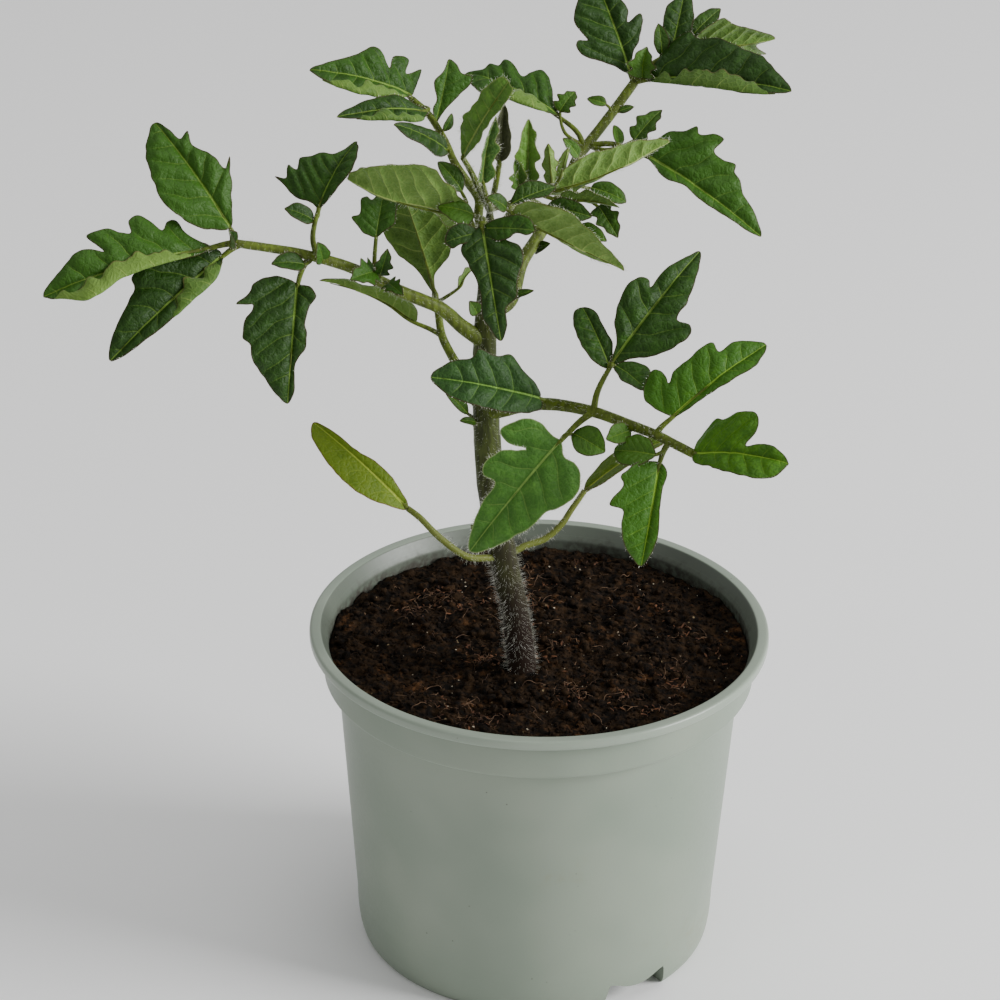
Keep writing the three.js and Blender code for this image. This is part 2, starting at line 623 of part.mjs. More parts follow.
    stalk: [
      [-14.3, -10.8, 203.5], [-17, -7, 210], [-17, -5, 214], [-20, -1, 217],
      [-23, 3, 220], [-26, 7, 225], [-30, 11, 230], [-34, 13, 233],
    ],
    leaflets: [
      {
        name: "end", on: 7, stem: 1.6, arch: 2.5, fold: [10, 8],
        base: [-34, 13, 234], tip: [-59, 2, 245], face: [0.1, -0.6, 0.78],
        left: [[0.36, 0.16], [0.61, 0.19], [0.89, 0.12]],
        right: [
          [-0.04, 0.09], [-0.09, 0.26], [0.07, 0.18], [0.05, 0.31], [0.22, 0.28],
          [0.28, 0.15], [0.34, 0.25], [0.42, 0.3], [0.63, 0.18], [0.88, 0.07],
        ],
      },
      {
        name: "lower", on: 6.4, stem: 1.5, arch: 2, fold: [10, 8],
        base: [-30, 8, 232], tip: [-52, -6, 236], face: [0, -0.6, 0.78],
        left: [[0.21, 0.17], [0.42, 0.16], [0.76, 0.11]],
        right: [[0.15, 0.07], [0.3, 0.14], [0.49, 0.13], [0.77, 0.09]],
      },
      {
        name: "third", on: 5, stem: 1.4, arch: 1.5, fold: [10, 8],
        base: [-25, 4, 223], tip: [-38, -8, 235], face: [0, -0.6, 0.78],
        left: [[0.38, 0.26], [0.62, 0.2], [0.88, 0.15]],
        right: [[0.06, 0.13], [0.28, 0.13], [0.48, 0.11], [0.76, 0.08]],
      },
      {
        name: "upper", on: 5.8, stem: 1.3, arch: 1.5, fold: [10, 12],
        base: [-28, 10, 228], tip: [-25, 20, 241], face: [0.2, -0.8, 0.5],
        left: [[0.19, 0.1], [0.33, 0.07], [0.57, 0.17], [0.76, 0.06]],
        right: [
          [0.14, 0.06], [0.3, 0.14], [0.46, 0.24], [0.61, 0.35], [0.78, 0.38], [0.81, 0.22], [0.93, 0.13],
        ],
      },
      {
        name: "spur", on: 5.1, stem: 0.9, arch: 0.5, fold: [12, 12],
        base: [-26, 7, 227], tip: [-24, 9, 231], face: [0.6, -0.6, 0.4],
        margin: "oval", width: 2.5,
      },
    ],
  },
];

// The young leaves of the growing tip, which grow as one piece from the end of the stem.
const TIP_LEAVES = [
  {
    name: "leaf_young",
    girth: [1.9, 1.3],
    stalk: [
      [-14.2, -10.8, 213.9], [-16, -12, 218], [-19, -13, 225], [-21, -14, 229],
    ],
    leaflets: [
      {
        name: "blade", on: 3, stem: 1.3, arch: 2, fold: [10, 10],
        base: [-21, -14, 229], tip: [-10, -18, 251], face: [-0.3, -0.85, 0.35],
        left: [
          [0.17, 0.09], [0.32, 0.16], [0.49, 0.18], [0.61, 0.15], [0.77, 0.16], [0.92, 0.13], [1, 0.07],
        ],
        right: [[0.2, 0.07], [0.39, 0.09], [0.54, 0.08], [0.67, 0.09], [0.83, 0.11], [0.98, 0.09]],
      },
    ],
  },
  {
    name: "leaf_rolled",
    girth: [1.5, 1.2],
    stalk: [
      [-14.2, -10.8, 213.9], [-14, -15, 216], [-15, -17, 220], [-16, -18, 224],
    ],
    leaflets: [
      {
        name: "blade", on: 3, stem: 1.1, arch: -1, fold: [30, 30],
        base: [-16, -18, 224], tip: [-13, -21, 243], face: [0.6, -0.7, 0.3],
        margin: "lobed", width: 6.4,
      },
    ],
  },
  {
    name: "leaf_furled",
    girth: [1.6, 1.4],
    stalk: [
      [-14.2, -10.8, 213.9], [-13, -12, 220], [-12, -12, 227],
    ],
    leaflets: [
      {
        name: "blade", on: 2, stem: 1.2, arch: 0, fold: [25, 25],
        base: [-12, -12, 227], tip: [-11, -11, 242], face: [0, -1, 0],
        left: [[0.16, 0.15], [0.44, 0.17], [0.72, 0.12], [0.92, 0.05]],
        right: [[0.19, 0.17], [0.43, 0.17], [0.7, 0.11], [0.92, 0.07]],
      },
    ],
  },
  {
    name: "leaf_tip_right",
    girth: [1.6, 1.3],
    stalk: [
      [-14.2, -10.8, 213.9], [-8, -10, 216], [-4, -9, 221],
    ],
    leaflets: [
      {
        name: "blade", on: 2, stem: 1.1, arch: 1, fold: [30, 30],
        base: [-5, -9, 220], tip: [-5, -6, 236], face: [0, -0.9, 0.4],
        margin: "lobed", width: 7.4,
      },
      {
        name: "side", on: 1.8, stem: 1, arch: 0.8, fold: [25, 25],
        base: [-7, -10, 219], tip: [-8, -9, 227], face: [0, -0.9, 0.4],
        margin: "lobed", width: 4.6,
      },
    ],
  },
];

// ---------------------------------------------------------------- materials

const POT_FINISH = new THREE.MeshStandardMaterial({ color: 0x97a398, roughness: 0.45, metalness: 0 });
const SOIL_FINISH = new THREE.MeshStandardMaterial({ color: 0x2c1f17, roughness: 0.95, metalness: 0 });
const STEM_FINISH = new THREE.MeshStandardMaterial({ color: 0x5c6238, roughness: 0.7, metalness: 0 });
const LEAF_FINISHES = {
  leaf: new THREE.MeshStandardMaterial({ color: 0x2f5a26, roughness: 0.6, metalness: 0 }),
  pale: new THREE.MeshStandardMaterial({ color: 0x5f8038, roughness: 0.65, metalness: 0 }),
  seed: new THREE.MeshStandardMaterial({ color: 0x8a8f35, roughness: 0.65, metalness: 0 }),
};

// ---------------------------------------------------------------- solids

/** A closed geometry as a solid that can be joined and cut. */
function solidFrom(geometry) {
  const bare = geometry.clone();
  bare.deleteAttribute("normal");
  bare.deleteAttribute("uv");
  const merged = mergeVertices(bare, 1e-4);
  return new wasm.Manifold(
    new wasm.Mesh({
      numProp: 3,
      vertProperties: merged.attributes.position.array,
      triVerts: new Uint32Array(merged.index.array),
    }),
  );
}

/** A named mesh of a solid. */
function meshFrom(solid, name, material) {
  const { numProp, vertProperties, triVerts } = solid.getMesh();
  const positions = new Float32Array((vertProperties.length / numProp) * 3);
  for (let i = 0; i * numProp < vertProperties.length; i++) {
    positions.set(vertProperties.subarray(i * numProp, i * numProp + 3), i * 3);
  }
  const geometry = new THREE.BufferGeometry();
  geometry.setAttribute("position", new THREE.BufferAttribute(positions, 3));
  geometry.setIndex(new THREE.BufferAttribute(new Uint32Array(triVerts), 1));
  geometry.computeVertexNormals();
  const mesh = new THREE.Mesh(geometry, material);
  mesh.name = name;
  return mesh;
}

/** A geometry from points and triangles of point numbers. */
function geometryFrom(points, triangles) {
  const geometry = new THREE.BufferGeometry().setFromPoints(points);
  geometry.setIndex(triangles.flat());
  return geometry;
}

/** The largest body of a solid: loose scraps of a join are dropped. */
function largestBody(solid) {
  return solid.decompose().reduce((best, body) => (body.volume() > best.volume() ? body : best));
}

/** Joins solids into one. */
function joined(solids) {
  return solids.reduce((sum, solid) => sum.add(solid));
}

/** A seeded random number from 0 to 1, the same on each run. */
function randomFrom(seed) {
  let state = seed;
  return () => {
    state = (state * 1664525 + 1013904223) % 4294967296;
    return state / 4294967296;
  };
}

const vector = ([x, y, z]) => new THREE.Vector3(x, y, z);

/** A closed round tube along a curve, its diameter read from a function of the share along it. */
function taperedTube(curve, diameterAt, steps, sides) {
  const frames = curve.computeFrenetFrames(steps, false);
  const points = [];
  const triangles = [];
  for (let i = 0; i <= steps; i++) {
    const centre = curve.getPointAt(i / steps);
    const radius = diameterAt(i / steps) / 2;
    for (let j = 0; j < sides; j++) {
      const angle = (2 * Math.PI * j) / sides;
      const spoke = frames.normals[i]
        .clone()
        .multiplyScalar(Math.cos(angle))
        .addScaledVector(frames.binormals[i], Math.sin(angle));
      points.push(centre.clone().addScaledVector(spoke, radius));
    }
  }
  for (let i = 0; i < steps; i++) {
    for (let j = 0; j < sides; j++) {
      const a = i * sides + j;
      const b = i * sides + ((j + 1) % sides);
      triangles.push([a, b, b + sides], [a, b + sides, a + sides]);
    }
  }
  for (let j = 1; j < sides - 1; j++) {
    const last = steps * sides;
    triangles.push([0, j + 1, j], [last, last + j, last + j + 1]);
  }
  return geometryFrom(points, triangles);
}

// ---------------------------------------------------------------- pot

/** Points of a quarter-round turn from the wall to the foot. */
function turnIn(from, to, steps) {
  const points = [];
  for (let i = 1; i <= steps; i++) {
    const angle = (Math.PI / 2) * (i / steps);
    const radius = to.x + (from.x - to.x) * Math.cos(angle);
    points.push(new THREE.Vector2(radius, from.y + (to.y - from.y) * Math.sin(angle)));
  }
  return points;
}

/** Inside of the pot, from the sunk middle of its floor up to the lip: the soil keeps to the same line. */
function potInside(clearance) {
  return [
    new THREE.Vector2(BOSS_RADIUS - WALL - clearance, FLOOR_THICKNESS + clearance),
    new THREE.Vector2(BOSS_RADIUS + EDGE - WALL - clearance, FLOOR_TOP + clearance),
    new THREE.Vector2(FLOOR_RADIUS - clearance, FLOOR_TOP + clearance),
    new THREE.Vector2(BODY_LOW_RADIUS - WALL - clearance, TURN_IN_HEIGHT + clearance),
    new THREE.Vector2(BODY_TOP_RADIUS - WALL - clearance, BAND_BOTTOM - BAND_STEP),
    new THREE.Vector2(BAND_RADIUS - WALL - clearance, BAND_BOTTOM + WALL),
  ];
}

function potProfile() {
  const lipBottom = POT_HEIGHT - LIP_HEIGHT;
  const lipInner = RIM_RADIUS - LIP_WIDTH;
  const wallStart = new THREE.Vector2(BODY_LOW_RADIUS, TURN_IN_HEIGHT);
  const foot = new THREE.Vector2(FOOT_RADIUS, 0);
  const outside = [
    new THREE.Vector2(lipInner + EDGE, POT_HEIGHT),
    new THREE.Vector2(RIM_RADIUS - EDGE, POT_HEIGHT),
    new THREE.Vector2(RIM_RADIUS, POT_HEIGHT - EDGE),
    new THREE.Vector2(RIM_RADIUS, lipBottom + EDGE),
    new THREE.Vector2(RIM_RADIUS - EDGE, lipBottom),
    new THREE.Vector2(BAND_RADIUS, lipBottom),
    new THREE.Vector2(BAND_RADIUS, BAND_BOTTOM + EDGE),
    new THREE.Vector2(BAND_RADIUS - EDGE, BAND_BOTTOM),
    new THREE.Vector2(BODY_TOP_RADIUS, BAND_BOTTOM - EDGE),
    wallStart,
    ...turnIn(wallStart, foot, TURN_IN_STEPS),
  ];
  const underside = [
    new THREE.Vector2(FOOT_INNER_RADIUS, 0),
    new THREE.Vector2(FOOT_INNER_RADIUS - EDGE, RECESS),
    new THREE.Vector2(BOSS_RADIUS + EDGE, RECESS),
    new THREE.Vector2(BOSS_RADIUS, 0),
    new THREE.Vector2(0, 0),
  ];
  const inside = [
    new THREE.Vector2(0, FLOOR_THICKNESS),
    ...potInside(0),
    new THREE.Vector2(BAND_RADIUS - WALL, lipBottom),
    new THREE.Vector2(lipInner, POT_HEIGHT - EDGE),
  ];
  return [...outside, ...underside, ...inside, outside[0].clone()].reverse();
}

/** One arch through the foot, turned to its angle from the front. */
function notchCutter(angle) {
  const half = NOTCH_WIDTH / 2;
  const belowFoot = -1;
  const arch = new THREE.Shape();
  arch.moveTo(-half, belowFoot);
  arch.lineTo(half, belowFoot);
  arch.lineTo(half - NOTCH_TAPER, NOTCH_HEIGHT - NOTCH_CORNER);
  arch.lineTo(half - NOTCH_TAPER - NOTCH_CORNER, NOTCH_HEIGHT);
  arch.lineTo(-half + NOTCH_TAPER + NOTCH_CORNER, NOTCH_HEIGHT);
  arch.lineTo(-half + NOTCH_TAPER, NOTCH_HEIGHT - NOTCH_CORNER);
  arch.closePath();
  const cutter = new THREE.ExtrudeGeometry(arch, { depth: NOTCH_DEPTH, bevelEnabled: false });
  cutter.rotateX(Math.PI / 2);
  cutter.translate(0, NOTCH_DEPTH / 2 - FOOT_INNER_RADIUS, 0);
  cutter.rotateZ(THREE.MathUtils.degToRad(angle));
  return solidFrom(cutter);
}

function potSolid() {
  let pot = solidFrom(new THREE.LatheGeometry(potProfile(), POT_SEGMENTS).rotateX(Math.PI / 2));
  for (let i = 0; i < DRAIN_HOLES; i++) {
    const angle = (2 * Math.PI * (i + 0.5)) / DRAIN_HOLES;
    const drill = new THREE.CylinderGeometry(DRAIN_RADIUS, DRAIN_RADIUS, FLOOR_TOP * 3, DRAIN_SIDES);
    drill.rotateX(Math.PI / 2);
    drill.translate(DRAIN_CIRCLE * Math.cos(angle), DRAIN_CIRCLE * Math.sin(angle), 0);
    pot = pot.subtract(solidFrom(drill));
  }
  return NOTCH_ANGLES.reduce((cut, angle) => cut.subtract(notchCutter(angle)), pot);
}

// ---------------------------------------------------------------- soil

/** Height of the soil's surface: seeded bumps over a slight fall towards the wall. */
function soilHeights() {
  const random = randomFrom(SOIL_SEED);
  const rows = [];
  for (let ring = 0; ring <= SOIL_RINGS; ring++) {
    const middle = SOIL_TOP - SOIL_FALL * (ring / SOIL_RINGS) ** 3;
    rows.push(Array.from({ length: SOIL_SECTORS }, () => middle + SOIL_BUMP * (random() - 0.5)));
  }
  return rows;
}

function soilSolid(hole) {
  const heights = soilHeights();
  const wall = potInside(GAP);
  const points = [new THREE.Vector3(0, 0, heights[0][0])];
  const triangles = [];
  const ringStart = (row) => 1 + row * SOIL_SECTORS;
  const wallTop = wall[wall.length - 1];
  const addRing = (radius, heightAt) => {
    for (let j = 0; j < SOIL_SECTORS; j++) {
      const angle = (2 * Math.PI * j) / SOIL_SECTORS;
      points.push(new THREE.Vector3(radius * Math.cos(angle), radius * Math.sin(angle), heightAt(j)));
    }
  };
  for (let ring = 1; ring <= SOIL_RINGS; ring++) {
    addRing((wallTop.x * ring) / SOIL_RINGS, (j) => heights[ring][j]);
  }
  [...wall].reverse().forEach((corner) => addRing(corner.x, () => corner.y));
  const rows = SOIL_RINGS + wall.length;
  points.push(new THREE.Vector3(0, 0, wall[0].y));
  for (let j = 0; j < SOIL_SECTORS; j++) {
    const next = (j + 1) % SOIL_SECTORS;
    triangles.push([0, ringStart(0) + j, ringStart(0) + next]);
    for (let row = 0; row < rows - 1; row++) {
      const [a, b] = [ringStart(row), ringStart(row + 1)];
      triangles.push([a + j, b + j, b + next], [a + j, b + next, a + next]);
    }
    triangles.push([ringStart(rows - 1) + next, ringStart(rows - 1) + j, points.length - 1]);
  }
  return solidFrom(geometryFrom(points, triangles)).subtract(hole);
}

// ---------------------------------------------------------------- stem

const stemCurve = new THREE.CatmullRomCurve3(STEM_POINTS.map(({ at }) => vector(at)));

/** The stem, or with a swell the space that the stalks keep clear of. */
function stemTube(swell) {
  const spans = STEM_POINTS.length - 1;
  const lengths = stemCurve.getLengths(spans * LENGTHS_PER_SPAN);
  const stations = STEM_POINTS.map((_, i) => lengths[i * LENGTHS_PER_SPAN] / stemCurve.getLength());
  const diameterAt = (share) => {
    const next = Math.max(1, stations.findIndex((station) => station >= share - 1e-9));
    const part = (share - stations[next - 1]) / (stations[next] - stations[next - 1]);
    const [from, to] = [STEM_POINTS[next - 1].diameter, STEM_POINTS[next].diameter];
    return from + (to - from) * part + 2 * swell;
  };
  return solidFrom(taperedTube(stemCurve, diameterAt, STEM_STEPS, STEM_SIDES));
}

/** The straight hole in the soil round the foot of the stem. */
function stemHole() {
  const [footX, footY, footZ] = STEM_POINTS[0].at;
  const [soilX, soilY] = STEM_POINTS[2].at;
  const radius = SOIL_HOLE_DIAMETER / 2;
  const bottom = footZ - GAP;
  const depth = POT_HEIGHT - bottom;
  const hole = new THREE.CylinderGeometry(radius, radius, depth, SOIL_HOLE_SIDES);
  hole.rotateX(Math.PI / 2);
  hole.translate((footX + soilX) / 2, (footY + soilY) / 2, bottom + depth / 2);
  return solidFrom(hole);
}

// ---------------------------------------------------------------- leaves

/** A leaflet's own directions: along its midrib, out to its right and out of its upper face. */
function leafletFrame({ base, tip, face }) {
  const origin = vector(base);
  const along = vector(tip).sub(origin);
  const length = along.length();
  along.divideScalar(length);
  const up = vector(face);
  up.addScaledVector(along, -up.dot(along)).normalize();
  const right = new THREE.Vector3().crossVectors(along, up);
  return { origin, along, up, right, length };
}

/** Point of the arched midrib at a share of the blade's length. */
function ribPoint(frame, leaflet, share) {
  const inside = THREE.MathUtils.clamp(share, 0, 1);
  return frame.origin
    .clone()
    .addScaledVector(frame.along, frame.length * share)
    .addScaledVector(frame.up, leaflet.arch * 4 * inside * (1 - inside));
}

/** Point of a folded half: side is 1 right of the midrib and -1 left of it. */
function bladePoint(frame, leaflet, share, out, side) {
  const fold = THREE.MathUtils.degToRad(leaflet.fold[side > 0 ? 1 : 0]);
  return ribPoint(frame, leaflet, share)
    .addScaledVector(frame.right, side * out * frame.length * Math.cos(fold))
    .addScaledVector(frame.up, out * frame.length * Math.sin(fold));
}

/** The margin of one half, as [along, out] in shares of the blade's length. */
function marginOf(leaflet, side, length) {
  const drawn = side > 0 ? leaflet.right : leaflet.left;
  const margin = drawn ?? MARGINS[leaflet.margin];
  const scale = drawn ? 1 : leaflet.width / 2 / length;
  return margin.map(([along, out]) => [along, Math.max(out * scale, NARROWEST_HALF)]);
}

/** A thin arched blade with its cut margin: both faces are split into the same triangles. */
function bladeSolid(leaflet) {
  const frame = leafletFrame(leaflet);
  const flat = [];
  const placed = [];
  const addPoint = (along, out, side) => {
    flat.push(new THREE.Vector2(along, side * out));
    placed.push(bladePoint(frame, leaflet, along, out, side));
    return flat.length - 1;
  };
  const bends = frame.length > LONGEST_PLAIN_BLADE ? RIB_STATIONS : [0.5];
  const rib = [0, ...bends, 1].map((share) => addPoint(share, 0, 1));
  const triangles = [];
  for (const side of [1, -1]) {
    const margin = marginOf(leaflet, side, frame.length).map(([along, out]) => addPoint(along, out, side));
    const outline = [rib[0], ...margin, ...rib.slice(1).reverse()];
    const corners = outline.map((index) => flat[index]);
    for (const triangle of THREE.ShapeUtils.triangulateShape(corners, [])) {
      const [a, b, c] = triangle.map((corner) => outline[corner]);
      const area = flat[b].clone().sub(flat[a]).cross(flat[c].clone().sub(flat[a]));
      triangles.push(area < 0 ? [a, b, c] : [a, c, b]);
    }
  }
  return solidFrom(thickened(placed, triangles, BLADE_THICKNESS));
}

/** Gives a sheet of triangles its thickness, half on each face. */
function thickened(sheet, triangles, thickness) {
  const normals = sheet.map(() => new THREE.Vector3());
  for (const [a, b, c] of triangles) {
    const across = new THREE.Vector3()
      .crossVectors(sheet[b].clone().sub(sheet[a]), sheet[c].clone().sub(sheet[a]))
      .normalize();
    [a, b, c].forEach((index) => normals[index].add(across));
  }
  normals.forEach((normal) => normal.setLength(thickness / 2));
  const offset = (sign) => sheet.map((point, i) => point.clone().addScaledVector(normals[i], sign));
  const count = sheet.length;
  const faces = triangles.flatMap(([a, b, c]) => [[a, b, c], [c + count, b + count, a + count]]);
  const edges = new Set(triangles.flatMap(([a, b, c]) => [`${a} ${b}`, `${b} ${c}`, `${c} ${a}`]));
  for (const edge of edges) {
    const [a, b] = edge.split(" ").map(Number);
    if (!edges.has(`${b} ${a}`)) {
      faces.push([a, a + count, b + count], [a, b + count, b]);
    }
  }
  return geometryFrom([...offset(1), ...offset(-1)], faces);
}

/** The stalk of a leaflet, which runs on as the raised midrib under its blade. */
function leafletStalk(leaflet, foot) {
  const frame = leafletFrame(leaflet);
  const path = [foot];
  const reach = foot.distanceTo(frame.origin);
  if (reach > SHORTEST_BENT_STALK) {
    path.push(frame.origin.clone().addScaledVector(frame.along, -reach / 3).lerp(foot, 0.4));
  }
  path.push(ribPoint(frame, leaflet, RIB_REACH));
  const curve = new THREE.CatmullRomCurve3(path);
  const diameterAt = (share) => leaflet.stem + (RIB_END_DIAMETER - leaflet.stem) * share ** 3;
  return solidFrom(taperedTube(curve, diameterAt, path.length === 2 ? 1 : 3, LEAFLET_STALK_SIDES));
}

/** A leaf with its stalk and leaflets as one solid. */
function leafSolid({ girth, stalk, leaflets }) {
  const curve = new THREE.CatmullRomCurve3(stalk.map(vector));
  const steps = Math.max(FEWEST_STALK_STEPS, stalk.length - 1);
  const diameterAt = (share) => girth[0] + (girth[1] - girth[0]) * share;
  const stalkSolid = solidFrom(taperedTube(curve, diameterAt, steps, STALK_SIDES));
  const pieces = leaflets.flatMap((leaflet) => {
    const neighbour = leaflets.find(({ name }) => name === leaflet.on);
    const foot = neighbour ? vector(neighbour.base) : curve.getPoint(leaflet.on / (stalk.length - 1));
    return [leafletStalk(leaflet, foot), bladeSolid(leaflet)];
  });
  return joined([stalkSolid, ...pieces]);
}

/** The stem with the small shoots of its axils. */
function stemSolid() {
  const shoots = STEM_SHOOTS.flatMap(({ foot, ...shape }) => {
    const leaflet = { margin: "oval", arch: 0.6, fold: [15, 15], stem: 1.2, ...shape };
    return [leafletStalk(leaflet, vector(foot)), bladeSolid(leaflet)];
  });
  return joined([stemTube(0), ...shoots]);
}

// ---------------------------------------------------------------- the whole plant

const plant = new THREE.Group();
const stemClearance = stemTube(GAP);

plant.add(meshFrom(potSolid(), "pot", POT_FINISH));
plant.add(meshFrom(soilSolid(stemHole()), "soil", SOIL_FINISH));
plant.add(meshFrom(stemSolid(), "stem", STEM_FINISH));
for (const leaf of LEAVES) {
  const solid = largestBody(leafSolid(leaf).subtract(stemClearance));
  plant.add(meshFrom(solid, leaf.name, LEAF_FINISHES[leaf.finish]));
}
const growingTip = largestBody(joined(TIP_LEAVES.map(leafSolid)).subtract(stemClearance));
plant.add(meshFrom(growingTip, "growing_tip", LEAF_FINISHES.leaf));

export default plant;
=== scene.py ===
"""Looks of a young tomato plant in a round plastic pot.

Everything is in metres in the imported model's frame. Sizes that come from the part's source are in
millimetres and are scaled once, where a mesh is made.
"""

import logging
import math
import random
from collections.abc import Callable, Sequence
from dataclasses import dataclass, field
from enum import Enum
from typing import ClassVar

import bpy
import numpy as np
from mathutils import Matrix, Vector, noise
from mathutils.geometry import delaunay_2d_cdt


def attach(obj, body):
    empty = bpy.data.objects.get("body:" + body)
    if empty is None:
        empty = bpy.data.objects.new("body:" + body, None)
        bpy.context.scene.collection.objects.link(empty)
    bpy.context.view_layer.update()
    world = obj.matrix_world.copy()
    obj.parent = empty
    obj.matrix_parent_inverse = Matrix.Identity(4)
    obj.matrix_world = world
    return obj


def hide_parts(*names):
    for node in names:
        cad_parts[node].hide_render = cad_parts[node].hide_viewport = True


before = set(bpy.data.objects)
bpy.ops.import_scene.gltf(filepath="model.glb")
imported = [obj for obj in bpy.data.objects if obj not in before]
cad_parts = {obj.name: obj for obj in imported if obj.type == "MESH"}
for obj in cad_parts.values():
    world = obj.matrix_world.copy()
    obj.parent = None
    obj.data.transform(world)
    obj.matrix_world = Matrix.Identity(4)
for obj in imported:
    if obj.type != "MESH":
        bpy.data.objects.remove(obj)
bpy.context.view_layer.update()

LOG = logging.getLogger("tomato_plant")
MM = 0.001
FULL_TURN = 2 * math.pi
TINY = 1e-12  # keeps a length that is divided by off zero

Triple = tuple[float, float, float]
Pair = tuple[float, float]
Colour = tuple[float, float, float, float]
Array = np.ndarray
Roll = tuple[int, float, float, float]  # side, first and last share of the length, width


def srgb(red: int, green: int, blue: int) -> Colour:
    """Turns a screen colour into the linear values that shaders take.

    Args:
        red: Red, from 0 to 255.
        green: Green, from 0 to 255.
        blue: Blue, from 0 to 255.

    Returns:
        The linear colour, opaque.
    """
    def linear(value: int) -> float:
        """One channel in linear light."""
        share = value / 255
        return share / 12.92 if share <= 0.04045 else ((share + 0.055) / 1.055) ** 2.4
    return (linear(red), linear(green), linear(blue), 1.0)


# ---------------------------------------------------------------- plant facts


class Look(Enum):
    """Named looks of a blade's upper face."""

    DARK = "dark"
    BLUISH = "bluish"
    MID = "mid"
    BRIGHT = "bright"
    YOUNG = "young"
    PALE = "pale"
    SEED = "seed"
    SOFT = "soft"
    FURLED = "furled"


class Margin(Enum):
    """Margins of the plain leaflets: [along, out], the second as a share of half the width."""

    OVAL = ((0.04, 0.35), (0.22, 0.88), (0.5, 1), (0.78, 0.72), (0.94, 0.3))
    LOBE = ((-0.02, 0.55), (0.25, 0.9), (0.6, 1), (0.88, 0.7))
    LOBED = ((0.03, 0.5), (0.16, 0.95), (0.3, 0.62), (0.46, 1), (0.62, 0.6), (0.78, 0.55), (0.92, 0.22))
    DRAWN = ()


@dataclass(frozen=True)
class Leaflet:
    """One blade and its small stalk, in millimetres, as in the part's source.

    `on` is the number of the stalk point that it grows from, or the leaflet at whose base it grows.
    """

    name: str
    on: float | str
    base: Triple
    tip: Triple
    face: Triple
    stem: float
    arch: float
    fold: Pair
    look: Look
    left: tuple[Pair, ...] = ()
    right: tuple[Pair, ...] = ()
    margin: Margin = Margin.DRAWN
    width: float = 0.0
    rolls: tuple[Roll, ...] = ()


@dataclass(frozen=True)
class LeafRow:
    """One leaf: its stalk's points from the middle of the stem, its girth and its leaflets."""

    name: str
    girth: Pair
    stalk: tuple[Triple, ...]
    leaflets: tuple[Leaflet, ...]


